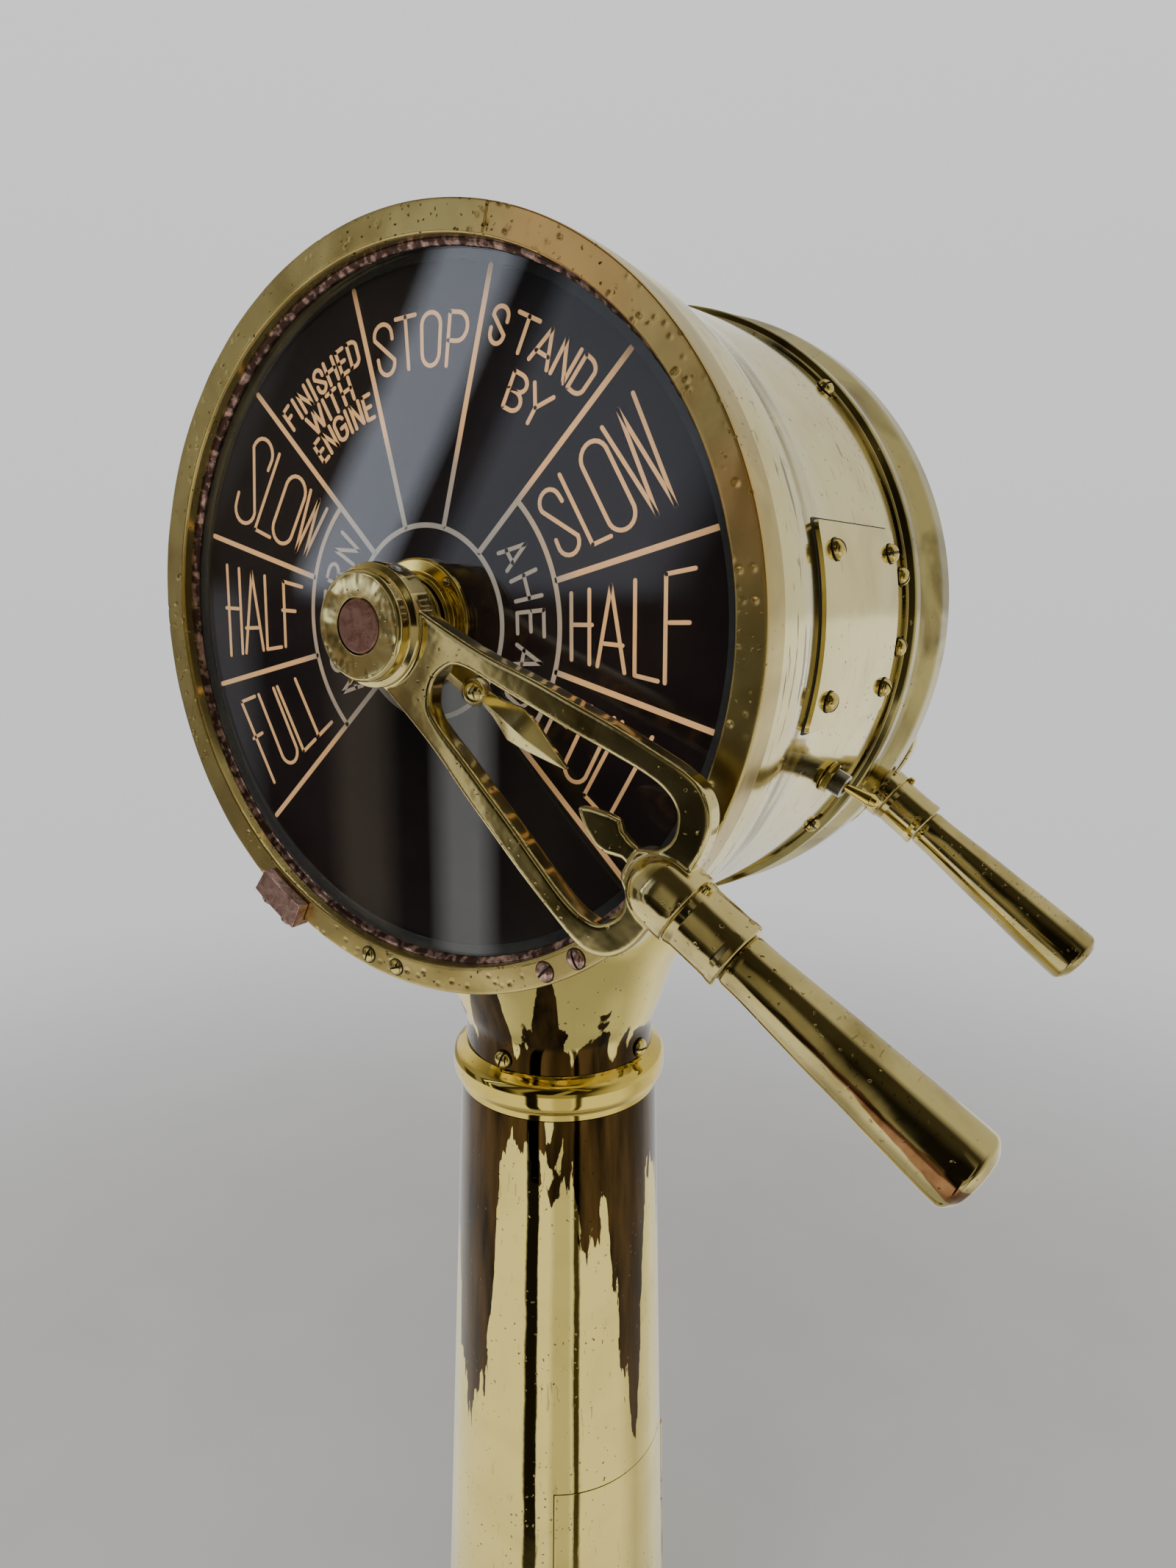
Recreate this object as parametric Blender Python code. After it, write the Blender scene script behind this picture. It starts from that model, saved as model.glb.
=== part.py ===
"""Pedestal ship engine telegraph: a double-faced brass head on a tapered column.

The origin is on the floor, at the centre of the base's underside. +Z is up, the front dial faces -Y and
the operating levers at rest point down to +X. Metres.
"""

import math

import bmesh
import bpy
from mathutils import Matrix, Vector

MM = 0.001
GAP = 0.3 * MM

# Driving dimensions
SHAFT_Z = 1000 * MM            # height of the lever shaft above the floor
FRONT_Y = -117.7 * MM          # front bezel's face
REAR_Y = 117.3 * MM            # rear ring's face
BEZEL_R = 165 * MM             # front bezel, outer radius
BEZEL_DEPTH = 16 * MM
DRUM_BORE_R = 150.5 * MM       # inside of the drum
FLANGE_R = 140 * MM            # opening of the flange behind each dial
RABBET_R = 152.3 * MM          # bore that takes the glass, gasket and dial
RING_DEPTH = 56.7 * MM         # rear ring, front to back
DRUM_DEPTH = 178 * MM          # drum's back edge behind the front bezel's face
GLASS_R = 151.6 * MM
DIAL_CENTRE_HOLE_R = 22 * MM
SHAFT_R = 11.3 * MM
SLEEVE_R = 15 * MM
SLEEVE_BORE_R = 12 * MM

LEVER_ANGLE = math.radians(123.4)      # clockwise from the top: past FULL AHEAD, on the stop
REAR_LEVER_ANGLE = math.radians(126)   # the rear lever is keyed on slightly further round
POINTER_ANGLE = math.radians(122.3)
LEVER_PLANE = 16.5 * MM                # handle axis in front of the bezel's face
LEVER_BACK = 11.5 * MM                 # arms, back and front faces
LEVER_FRONT = 20.5 * MM
HUB_FRONT = 29.5 * MM
SOCKET_END = 199 * MM                  # distance of the socket's rim from the shaft
FRONT_GRIP_END = 301.5 * MM
REAR_GRIP_END = 307.5 * MM

NECK_R = 52.5 * MM
NECK_BORE_R = 49.2 * MM
NECK_BOTTOM = 766 * MM
NECK_TOP = 880 * MM
NECK_SCREW_Z = 771 * MM
COLLAR_BOTTOM = 742 * MM
COLUMN_TOP_R = 55.5 * MM
COLUMN_SLOPE = 0.0344                  # radius gained per unit of height lost
COLUMN_WALL = 4.5 * MM
COLUMN_TOP = COLLAR_BOTTOM - GAP
COLUMN_BOTTOM = 72.3 * MM
SOLE_R = 150 * MM
SOLE_THICKNESS = 6 * MM
DECK_BOLT_CIRCLE_R = 137 * MM
DECK_BOLTS = 6

DOOR_TOP = 518 * MM
DOOR_BOTTOM = 250 * MM
DOOR_FRONT_AZIMUTH = math.radians(32.5)    # azimuths run from the front (-Y) towards +X
DOOR_HINGE_AZIMUTH = math.radians(147.5)
DOOR_THICKNESS = 4 * MM
DOOR_GAP = 0.45 * MM
HINGE_OFFSET = 5.2 * MM                    # hinge axis outside the column's surface
KNUCKLE_R = 4.6 * MM
KNUCKLE_BORE_R = 2.7 * MM
HINGE_PIN_R = 2.3 * MM
HINGE_END = 95 * MM                        # the knuckles' ends, from the hinge's middle
KNUCKLE_SPLIT = 50 * MM
LEAF_WIDTH = 16 * MM                       # hinge leaf: how far it reaches from the axis
LEAF_PROUD = 1.8 * MM                      # above the column's surface, and below it
LEAF_ROOT = 2.6 * MM
LATCH_AZIMUTH = math.radians(42)
LATCH_Z = 384 * MM

GEAR_TEETH = 14
GEAR_PITCH_R = 24 * MM
GEAR_WIDTH = 8 * MM
LAYSHAFT_RISE = 2 * GEAR_PITCH_R           # above the lever shaft
SPROCKET_R = 31 * MM
SPROCKET_WIDTH = 8 * MM
ORDER_CHAIN_Y = -16 * MM                   # middle of each chain
REPLY_CHAIN_Y = 16 * MM
CHAIN_THICKNESS = 6 * MM

SWITCH_ANGLE = math.radians(116.5)
SWITCH_Y = 16.3 * MM
SWITCH_PIVOT_R = 164.5 * MM
SWITCH_TILT = math.radians(12)
COVER_ANGLES = (math.radians(74.5), math.radians(104.5))
COVER_SCREW_ANGLES = (math.radians(78.5), math.radians(100.2))
COVER_SPAN_Y = (-55.7 * MM, 42.3 * MM)
COVER_SCREW_Y = (-37.7 * MM, 37.3 * MM)
COVER_R = 161.2 * MM
COVER_THICKNESS = 2.2 * MM
CLAMP_ANGLES = (math.radians(206.6), math.radians(217))
CLAMP_R = 168.6 * MM

DETENT_HEIGHT = 5 * MM                     # middle of the detent wheel, in front of the column's axis
DETENT_NOTCHES = 11
DETENT_PITCH = math.radians(30.85)
HAMMER_PIVOT = (-46.5 * MM, 26 * MM, 0)

BIG_SEGMENTS = 28
COLUMN_SEGMENTS = 24
SHAFT_SEGMENTS = 14
SMALL_SEGMENTS = 12
KNUCKLE_SEGMENTS = 14
SCREW_SEGMENTS = 8

FRONT_TURN = (math.pi / 2, 0, 0)           # local +Z to the front, local +Y up
REAR_TURN = (math.pi / 2, 0, math.pi)      # local +Z to the back, local +Y up


# Materials

def metal(name, colour, roughness, metallic=1.0, alpha=1.0):
    """A Principled material, made once for each name."""
    material = bpy.data.materials.get(name)
    if material:
        return material
    material = bpy.data.materials.new(name)
    material.use_nodes = True
    shader = material.node_tree.nodes["Principled BSDF"]
    shader.inputs["Base Color"].default_value = (*colour, 1)
    shader.inputs["Roughness"].default_value = roughness
    shader.inputs["Metallic"].default_value = metallic
    shader.inputs["Alpha"].default_value = alpha
    material.diffuse_color = (*colour, alpha)
    return material


def polished_brass():
    return metal("polished_brass", (0.72, 0.56, 0.26), 0.18)


def cast_brass():
    return metal("cast_brass", (0.74, 0.62, 0.36), 0.32)


def copper():
    return metal("copper", (0.62, 0.38, 0.30), 0.4)


def steel():
    return metal("steel", (0.55, 0.55, 0.55), 0.35)


def black_paint():
    return metal("black_paint", (0.03, 0.03, 0.03), 0.5, 0)


def dial_black():
    return metal("dial_black", (0.025, 0.02, 0.02), 0.2, 0)


def putty():
    return metal("putty", (0.50, 0.31, 0.25), 0.7, 0)


def rubber():
    return metal("rubber", (0.02, 0.02, 0.02), 0.8, 0)


def clear_glass():
    return metal("clear_glass", (0.9, 0.95, 0.95), 0.05, 0, 0.25)


# Mesh helpers

def in_mm(pairs):
    """Pairs of numbers in millimetres as metres."""
    return [(first * MM, second * MM) for first, second in pairs]


def place(name, mesh_data, material, parent=None, location=(0, 0, 0), rotation=(0, 0, 0)):
    """Writes a bmesh to a new object with its faces turned outwards."""
    bmesh.ops.recalc_face_normals(mesh_data, faces=mesh_data.faces)
    mesh = bpy.data.meshes.new(name)
    mesh_data.to_mesh(mesh)
    mesh_data.free()
    mesh.shade_smooth()
    mesh.set_sharp_from_angle(angle=math.radians(35))
    mesh.materials.append(material)
    piece = bpy.data.objects.new(name, mesh)
    bpy.context.collection.objects.link(piece)
    piece.location = location
    piece.rotation_euler = rotation
    piece.parent = parent
    return piece


def turned_mesh(profile, segments):
    """Turns a closed (radius, height) profile about Z. Points on the axis close the shape."""
    shape = bmesh.new()
    points = [shape.verts.new((radius, 0, height)) for radius, height in profile]
    edges = [shape.edges.new((points[i - 1], points[i])) for i in range(len(points))]
    bmesh.ops.spin(
        shape, geom=points + edges, axis=(0, 0, 1), cent=(0, 0, 0),
        angle=2 * math.pi, steps=segments, use_merge=True, use_duplicate=False,
    )
    bmesh.ops.remove_doubles(shape, verts=shape.verts, dist=0.001 * MM)
    thin = [edge for edge in shape.edges if not edge.link_faces]
    bmesh.ops.delete(shape, geom=thin, context="EDGES")
    return shape


def turned(name, profile, segments, material, **placing):
    return place(name, turned_mesh(profile, segments), material, **placing)


def prism_mesh(outline, low, high, hole=None):
    """Extrudes a closed (x, y) outline from low to high. A hole has as many points as the outline."""
    shape = bmesh.new()
    rings = []
    for height in (low, high):
        rings.append([shape.verts.new((x, y, height)) for x, y in outline])
        if hole:
            rings.append([shape.verts.new((x, y, height)) for x, y in hole])
    count = len(outline)
    if hole:
        bottom, bottom_hole, top, top_hole = rings
        pairs = [(bottom, top), (top_hole, bottom_hole), (bottom_hole, bottom), (top, top_hole)]
    else:
        bottom, top = rings
        pairs = [(bottom, top)]
        shape.faces.new(list(reversed(bottom)))
        shape.faces.new(top)
    for first, second in pairs:
        for i in range(count):
            j = (i + 1) % count
            shape.faces.new((first[i], first[j], second[j], second[i]))
    return shape


def prism(name, outline, low, high, material, hole=None, **placing):
    return place(name, prism_mesh(outline, low, high, hole), material, **placing)


def box_mesh(low, high):
    size = Vector(high) - Vector(low)
    middle = (Vector(high) + Vector(low)) / 2
    shape = bmesh.new()
    bmesh.ops.create_cube(shape, size=1, matrix=Matrix.Translation(middle) @ Matrix.Diagonal((*size, 1)))
    return shape


def box(name, low, high, material, **placing):
    return place(name, box_mesh(low, high), material, **placing)


def circle(radius, segments, centre=(0, 0)):
    """Points of a circle in order."""
    turns = [2 * math.pi * i / segments for i in range(segments)]
    return [(centre[0] + radius * math.cos(t), centre[1] + radius * math.sin(t)) for t in turns]


def arc(radius, start, end, steps, centre=(0, 0)):
    """Points along an arc, both ends included. Angles run anticlockwise from +X."""
    turns = [start + (end - start) * i / steps for i in range(steps + 1)]
    return [(centre[0] + radius * math.cos(t), centre[1] + radius * math.sin(t)) for t in turns]


def rod_profile(radius, low, high, chamfer=0.0):
    edge = [(radius - chamfer, high), (radius, high - chamfer)] if chamfer else [(radius, high)]
    return [(0, high)] + edge + [(radius, low), (0, low)]


def tube_profile(outer, inner, low, high):
    return [(inner, high), (outer, high), (outer, low), (inner, low)]


def combine(piece, tool, operation):
    """Adds or cuts a tool, which then stays hidden."""
    tool.hide_render = True
    tool.display_type = "WIRE"
    modifier = piece.modifiers.new(operation.lower(), "BOOLEAN")
    modifier.operation = operation
    modifier.object = tool
    modifier.solver = "EXACT"


def join(piece, tool):
    combine(piece, tool, "UNION")


def cut(piece, tool):
    combine(piece, tool, "DIFFERENCE")


def frame(name, location, rotation=(0, 0, 0)):
    """An empty that carries the pieces of one side or axis."""
    empty = bpy.data.objects.new(name, None)
    bpy.context.collection.objects.link(empty)
    empty.location = location
    empty.rotation_euler = rotation
    return empty


def dial_point(radius, angle, height=0.0):
    """A point on the front face, with its angle clockwise from the top."""
    return Vector((radius * math.sin(angle), radius * math.cos(angle), height))


def column_radius(height):
    return COLUMN_TOP_R + COLUMN_SLOPE * (COLLAR_BOTTOM - height)


def outward(azimuth):
    """The horizontal direction at an azimuth from the front towards +X."""
    return Vector((math.sin(azimuth), -math.cos(azimuth), 0))


def screw_profile(head_r, head_height, shank_r, shank_length):
    """A round-headed screw whose head sits on height 0."""
    dome = [(head_r * math.cos(t), head_height * math.sin(t)) for t in (1.1, 0.6, 0)]
    return [(0, head_height)] + dome + [(shank_r, 0), (shank_r, -shank_length), (0, -shank_length)]


# Base and column

def deck_bolt_spots():
    turns = [2 * math.pi * (i + 0.5) / DECK_BOLTS for i in range(DECK_BOLTS)]
    return [outward(turn) * DECK_BOLT_CIRCLE_R for turn in turns]


def sole_plate():
    """The plate under the base. Its slots let both chains down through the deck."""
    disc = rod_profile(SOLE_R, 0, SOLE_THICKNESS, 1 * MM)
    plate = turned("sole_plate", disc, COLUMN_SEGMENTS, black_paint())
    slot_half = Vector((4.4 * MM, 5 * MM, 5 * MM))
    for chain_y in (ORDER_CHAIN_Y, REPLY_CHAIN_Y):
        for side in (-1, 1):
            spot = Vector((side * (SPROCKET_R + 3.6 * MM), chain_y, SOLE_THICKNESS / 2))
            cut(plate, box("chain_slot_cutter", spot - slot_half, spot + slot_half, black_paint()))
    drill_deck_holes(plate)


def drill_deck_holes(piece):
    for spot in deck_bolt_spots():
        drill = rod_profile(5.3 * MM, -5 * MM, 40 * MM)
        cut(piece, turned("deck_hole_cutter", drill, SCREW_SEGMENTS, steel(), location=spot))


def base_flange():
    """The hollow cast foot, with a spigot that centres the column."""
    low = (SOLE_THICKNESS + GAP) / MM
    outside = [
        (72.8, 90), (72.8, 72), (86.5, 72), (88.5, 66), (86, 60), (88.5, 47), (98, 32), (113, 22),
        (124, 19), (148.5, 19), (150, 17.5), (150, low),
    ]
    inside = [(124, low), (110, 13), (90, 25), (76, 48), (67.5, 90)]
    foot = turned("base_flange", in_mm(outside + inside), COLUMN_SEGMENTS, cast_brass())
    drill_deck_holes(foot)


def deck_bolts():
    """Hexagon-headed bolts through the foot and the sole plate."""
    head_low = 19 * MM + GAP
    for index, spot in enumerate(deck_bolt_spots()):
        hexagon = circle(9.5 * MM, 6)
        bolt = prism(f"deck_bolt_{index + 1}", hexagon, head_low, head_low + 7 * MM, steel(), location=spot)
        shank = rod_profile(4.7 * MM, GAP, 24 * MM)
        join(bolt, turned("bolt_shank", shank, SCREW_SEGMENTS, steel(), parent=bolt))


def cone_sector_mesh(start, end, low, high, outer_offset, inner_offset, steps):
    """A piece of the column's wall between two azimuths and two heights."""
    shape = bmesh.new()
    layers = []
    for height in (low, high):
        for offset in (outer_offset, inner_offset):
            radius = column_radius(height) + offset
            turns = [start + (end - start) * i / steps for i in range(steps + 1)]
            layers.append([shape.verts.new(outward(t) * radius + Vector((0, 0, height))) for t in turns])
    low_out, low_in, high_out, high_in = layers
    for i in range(steps):
        shape.faces.new((low_out[i], low_out[i + 1], high_out[i + 1], high_out[i]))
        shape.faces.new((low_in[i + 1], low_in[i], high_in[i], high_in[i + 1]))
        shape.faces.new((high_out[i], high_out[i + 1], high_in[i + 1], high_in[i]))
        shape.faces.new((low_in[i], low_in[i + 1], low_out[i + 1], low_out[i]))
    shape.faces.new((low_in[0], low_out[0], high_out[0], high_in[0]))
    shape.faces.new((low_out[-1], low_in[-1], high_in[-1], high_out[-1]))
    return shape


def hinge_frame():
    """The hinge axis: outside the column's surface and parallel to it, at the door's mid height."""
    middle = (DOOR_TOP + DOOR_BOTTOM) / 2
    side = outward(DOOR_HINGE_AZIMUTH)
    up = (Vector((0, 0, 1)) - side * COLUMN_SLOPE).normalized()
    across = side.cross(up).normalized()
    away = up.cross(across)
    turn = Matrix((across, away, up)).transposed().to_euler()
    spot = side * (column_radius(middle) + HINGE_OFFSET) + Vector((0, 0, middle))
    return frame("door_hinge_axis", spot, turn)


def knuckle(parent, side, low, high):
    """One hinge knuckle: a barrel, its leaf and its bore. side is -1 on the column and +1 on the door."""
    leaf_top = -(HINGE_OFFSET - LEAF_PROUD)
    leaf_bottom = -(HINGE_OFFSET + LEAF_ROOT)
    start = math.asin(leaf_top / KNUCKLE_R)
    end = 2 * math.pi - math.acos(GAP * 2 / KNUCKLE_R)
    outline = arc(KNUCKLE_R, start, end, 11) + [
        (GAP * 2, leaf_bottom), (LEAF_WIDTH, leaf_bottom), (LEAF_WIDTH, leaf_top),
    ]
    outline = [(side * x, y) for x, y in outline]
    barrel = prism("knuckle", outline, low, high, cast_brass(), parent=parent)
    bore = rod_profile(KNUCKLE_BORE_R, low - 5 * MM, high + 5 * MM)
    cut(barrel, turned("knuckle_bore", bore, KNUCKLE_SEGMENTS, steel(), parent=parent))
    return barrel


def column_tube(hinge):
    profile = [
        (column_radius(COLUMN_TOP), COLUMN_TOP), (column_radius(COLUMN_BOTTOM), COLUMN_BOTTOM),
        (column_radius(COLUMN_BOTTOM) - COLUMN_WALL, COLUMN_BOTTOM),
        (column_radius(COLUMN_TOP) - COLUMN_WALL, COLUMN_TOP),
    ]
    tube = turned("column_tube", profile, COLUMN_SEGMENTS, polished_brass())
    doorway = cone_sector_mesh(
        DOOR_FRONT_AZIMUTH, DOOR_HINGE_AZIMUTH, DOOR_BOTTOM, DOOR_TOP, 6 * MM, -12 * MM, 20,
    )
    cut(tube, place("doorway_cutter", doorway, polished_brass()))
    for low, high in ((-HINGE_END, -KNUCKLE_SPLIT - 2 * GAP), (KNUCKLE_SPLIT + 2 * GAP, HINGE_END)):
        join(tube, knuckle(hinge, -1, low, high))


def access_door(hinge):
    """The curved door in the column's side."""
    slack = DOOR_GAP / column_radius(DOOR_TOP)
    leaf = place("access_door", cone_sector_mesh(
        DOOR_FRONT_AZIMUTH + slack, DOOR_HINGE_AZIMUTH - slack, DOOR_BOTTOM + DOOR_GAP, DOOR_TOP - DOOR_GAP,
        0, -DOOR_THICKNESS, 20,
    ), polished_brass())
    join(leaf, knuckle(hinge, 1, -KNUCKLE_SPLIT, KNUCKLE_SPLIT))
    hole = rod_profile(3.4 * MM, -30 * MM, 30 * MM)
    cut(leaf, turned("latch_hole", hole, SMALL_SEGMENTS, steel(), parent=latch_frame()))
    leaf.data.transform(Matrix.Translation(-hinge.location))
    leaf.location = hinge.location


def door_hinge_pin(hinge):
    head_low, end = HINGE_END + GAP, HINGE_END + 3 * MM
    head_r = HINGE_PIN_R + 1.3 * MM
    profile = [
        (0, end), (head_r, end), (head_r, head_low), (HINGE_PIN_R, head_low), (HINGE_PIN_R, -end), (0, -end),
    ]
    turned("door_hinge_pin", profile, KNUCKLE_SEGMENTS, steel(), parent=hinge)


def latch_frame():
    """A frame on the door's surface whose Z points out of the column and whose Y points up."""
    side = outward(LATCH_AZIMUTH)
    turn = Matrix((Vector((0, 0, 1)).cross(side), Vector((0, 0, 1)), side)).transposed().to_euler()
    return frame("latch_axis", side * column_radius(LATCH_Z) + Vector((0, 0, LATCH_Z)), turn)


def door_latch():
    """A turn button with a tongue behind the door. The tongue stands upright at rest, unlatched."""
    knob = [(0, 9), (7, 8.5), (8.5, 6.5), (8.5, 3.5), (6, 1), (2.9, 1), (2.9, -10.5), (0, -10.5)]
    axis = latch_frame()
    latch = turned("door_latch", in_mm(knob), SMALL_SEGMENTS, cast_brass(), parent=axis)
    tongue = (-4 * MM, -4 * MM, -10.6 * MM), (4 * MM, 17 * MM, -8.6 * MM)
    join(latch, box("tongue", *tongue, cast_brass(), parent=axis))


def collar_ring():
    """The beaded ring between the head and the column, with a spigot up and a spigot down."""
    top, bottom = (NECK_BOTTOM - GAP) / MM, COLLAR_BOTTOM / MM
    bead = [
        (45.2, 790), (48.2, 790), (48.2, top), (53.4, top), (57.6, 762.4), (59.5, 755), (58.4, 748),
        (55.6, 743.6), (55.6, bottom), (50.4, bottom), (50.4, 726), (45.2, 726),
    ]
    turned("collar_ring", in_mm(bead), COLUMN_SEGMENTS, cast_brass())


def neck_screws():
    """Four round-headed screws that hold the head on the collar's spigot."""
    for index in range(4):
        spot, turn = neck_screw_seat(index, NECK_R + 2 * GAP)
        profile = screw_profile(4.85 * MM, 2.8 * MM, 2.1 * MM, 2.4 * MM)
        turned(f"neck_screw_{index + 1}", profile, SCREW_SEGMENTS, steel(), location=spot, rotation=turn)


# Head

def drum_profile():
    """The drum's wall in the front frame: heights are distances in front of the bezel's face."""
    outside = in_mm([
        (164.6, -16.3), (164.2, -37), (160.8, -61), (158.2, -88), (158.8, -116), (160.6, -155),
        (161, -DRUM_DEPTH / MM),
    ])
    inside = [
        (DRUM_BORE_R, -DRUM_DEPTH), (DRUM_BORE_R, -20 * MM), (FLANGE_R, -20 * MM), (FLANGE_R, -16.3 * MM),
    ]
    return outside + inside


def neck():
    """The neck under the drum, cut to the drum's inside and drilled for its four screws."""
    outside = in_mm([
        (78, NECK_TOP / MM), (78, 836), (71, 825), (64.7, 815), (60.2, 802), (56, 789), (52.7, 779),
    ])
    outside.append((NECK_R, NECK_BOTTOM))
    bore = [(NECK_BORE_R, NECK_BOTTOM), (NECK_BORE_R, NECK_TOP)]
    half_step = math.pi / COLUMN_SEGMENTS
    return turned("neck", outside + bore, COLUMN_SEGMENTS, cast_brass(), rotation=(0, 0, half_step))


def neck_screw_seat(index, radius):
    """Where one neck screw sits: its position, and its rotation with Z pointing outwards."""
    side = outward(index * math.pi / 2)
    return side * radius + Vector((0, 0, NECK_SCREW_Z)), side.to_track_quat("Z", "Y").to_euler()


def drum_shell(front):
    """The drum and its neck, one casting, open at the front, the back and down into the column."""
    drum = turned("drum_shell", drum_profile(), BIG_SEGMENTS, cast_brass(), parent=front)
    mouth = rod_profile(NECK_BORE_R + 2 * MM, NECK_BOTTOM, NECK_TOP)
    cut(drum, turned("drum_mouth", mouth, COLUMN_SEGMENTS, cast_brass()))
    stem = neck()
    behind = rod_profile(BEZEL_R + 8 * MM, -240 * MM, -DRUM_DEPTH - 0.2 * MM)
    cut(stem, turned("ring_room", behind, BIG_SEGMENTS, cast_brass(), parent=front))
    cavity = rod_profile(DRUM_BORE_R + 1 * MM, -DRUM_DEPTH - 10 * MM, -30 * MM)
    cut(stem, turned("cavity", cavity, BIG_SEGMENTS, cast_brass(), parent=front))
    for index in range(4):
        spot, turn = neck_screw_seat(index, NECK_BORE_R)
        hole = rod_profile(2.6 * MM, -8 * MM, 12 * MM)
        cut(stem, turned("neck_screw_hole", hole, SCREW_SEGMENTS, steel(), location=spot, rotation=turn))
    join(drum, stem)
    switch_hole = rod_profile(6.5 * MM, -25 * MM, 10 * MM)
    cut(drum, turned("switch_hole", switch_hole, SMALL_SEGMENTS, steel(), parent=switch_frame()))
    for angle, depth_y in cover_screw_spots():
        seat = side_frame(angle, depth_y, COVER_R)
        hole = rod_profile(2.4 * MM, -7 * MM, 8 * MM)
        cut(drum, turned("cover_screw_hole", hole, SCREW_SEGMENTS, steel(), parent=seat))


def front_bezel(front):
    profile = [
        (153.4 * MM, 0), (BEZEL_R - 1 * MM, 0), (BEZEL_R, -1 * MM), (BEZEL_R, -BEZEL_DEPTH),
        (RABBET_R, -BEZEL_DEPTH), (RABBET_R, -1.1 * MM),
    ]
    turned("front_bezel", profile, BIG_SEGMENTS, polished_brass(), parent=front)


def rear_ring(rear):
    """The deep moulded ring that closes the back of the drum and holds the rear dial."""
    outside = in_mm([
        (153.4, 0), (167.8, 0), (169.6, -2.5), (169.4, -15), (165.4, -28), (162.8, -38), (165.4, -45),
        (165.4, -51), (162, -RING_DEPTH / MM),
    ])
    inside = [
        (DRUM_BORE_R, -RING_DEPTH), (DRUM_BORE_R, -19.6 * MM), (FLANGE_R, -19.6 * MM), (FLANGE_R, -16 * MM),
        (RABBET_R, -16 * MM), (RABBET_R, -1.1 * MM),
    ]
    turned("rear_ring", outside + inside, BIG_SEGMENTS, polished_brass(), parent=rear)


def glazing(side_name, side):
    """Putty fillet, glass, gasket, dial plate and centre gland of one face."""
    fillet = in_mm([(152, -0.9), (152, -8), (147.4, -8), (148.6, -5.6)])
    turned(f"{side_name}_putty_ring", fillet, BIG_SEGMENTS, putty(), parent=side)
    pane = tube_profile(GLASS_R, DIAL_CENTRE_HOLE_R, -11 * MM, -8.3 * MM)
    turned(f"{side_name}_glass", pane, BIG_SEGMENTS, clear_glass(), parent=side)
    seal = tube_profile(151.4 * MM, 146.4 * MM, -12.9 * MM, -11.3 * MM)
    turned(f"{side_name}_gasket", seal, BIG_SEGMENTS, rubber(), parent=side)
    plate = tube_profile(GLASS_R, DIAL_CENTRE_HOLE_R, -15.4 * MM, -13.2 * MM)
    turned(f"{side_name}_dial", plate, BIG_SEGMENTS, dial_black(), parent=side)
    bore = SLEEVE_R / MM + 0.5
    gland = [
        (bore, -1), (21, -1), (22, -2), (22, -5.4), (28, -5.8), (28, -8), (21.3, -8), (21.3, -19), (bore, -19),
    ]
    turned(f"{side_name}_gland", in_mm(gland), SHAFT_SEGMENTS, polished_brass(), parent=side)


def side_frame(angle, depth_y, radius):
    """A frame on the drum's side at an angle clockwise from the top, with Z pointing away from the shaft."""
    away = Vector((math.sin(angle), 0, math.cos(angle)))
    along = Vector((0, 1, 0))
    turn = Matrix((along.cross(away), along, away)).transposed().to_euler()
    return frame("side_axis", away * radius + Vector((0, depth_y, SHAFT_Z)), turn)


def cover_screw_spots():
    return [(angle, depth_y) for angle in COVER_SCREW_ANGLES for depth_y in COVER_SCREW_Y]


def side_cover_plate(centre):
    """A curved cover over a hand hole in the drum's side, held by four screws."""
    start, end = (math.pi / 2 - angle for angle in COVER_ANGLES)
    outer = arc(COVER_R + COVER_THICKNESS, end, start, 12)
    inner = arc(COVER_R, start, end, 12)
    back, front = COVER_SPAN_Y[1], COVER_SPAN_Y[0]
    plate = prism("side_cover_plate", outer + inner, -back, -front, cast_brass(), parent=centre)
    for index, (angle, depth_y) in enumerate(cover_screw_spots()):
        seat = side_frame(angle, depth_y, COVER_R + COVER_THICKNESS + GAP)
        hole = rod_profile(2.3 * MM, -10 * MM, 5 * MM)
        cut(plate, turned("cover_hole", hole, SCREW_SEGMENTS, steel(), parent=seat))
        profile = screw_profile(4.3 * MM, 3.2 * MM, 2 * MM, 7 * MM)
        turned(f"cover_screw_{index + 1}", profile, SCREW_SEGMENTS, polished_brass(), parent=seat)


def bezel_clamp_block(front):
    """The copper block that clips over the bezel's rim at the lower left."""
    start, end = (math.pi / 2 - angle for angle in CLAMP_ANGLES)
    rim = arc(CLAMP_R, end, start, 3)
    face = rim + arc(155 * MM, start, end, 3)
    block = prism("bezel_clamp_block", face, GAP, 6.4 * MM, copper(), parent=front)
    lip = rim + arc(BEZEL_R + GAP, start, end, 3)
    join(block, prism("clamp_lip", lip, -9 * MM, 5 * MM, copper(), parent=front))
    for share in (0.25, 0.75):
        angle = CLAMP_ANGLES[0] + share * (CLAMP_ANGLES[1] - CLAMP_ANGLES[0])
        seat = side_frame(angle, FRONT_Y, CLAMP_R - 1 * MM)
        profile = screw_profile(4.4 * MM, 4.4 * MM, 2 * MM, 0.4 * MM)
        join(block, turned("clamp_screw", profile, SCREW_SEGMENTS, copper(), parent=seat))


# Levers and reply pointers

def mirrored(half):
    """A closed outline from its +X half, listed from the bottom to the top."""
    return half + [(-x, y) for x, y in reversed(half)]


def lever_outline():
    """The open frame's outer edge. Y runs along the lever from the shaft."""
    half = [
        (0, -18), (14, -14), (19, 6), (19.5, 20), (22, 40), (24.8, 56), (29.5, 75), (33, 92), (37.5, 114),
        (41, 136), (42.2, 146), (41.6, 154), (38, 160.5), (32, 165), (24, 167.6), (14, 168.4),
    ]
    return in_mm(mirrored(half[1:]))


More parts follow.
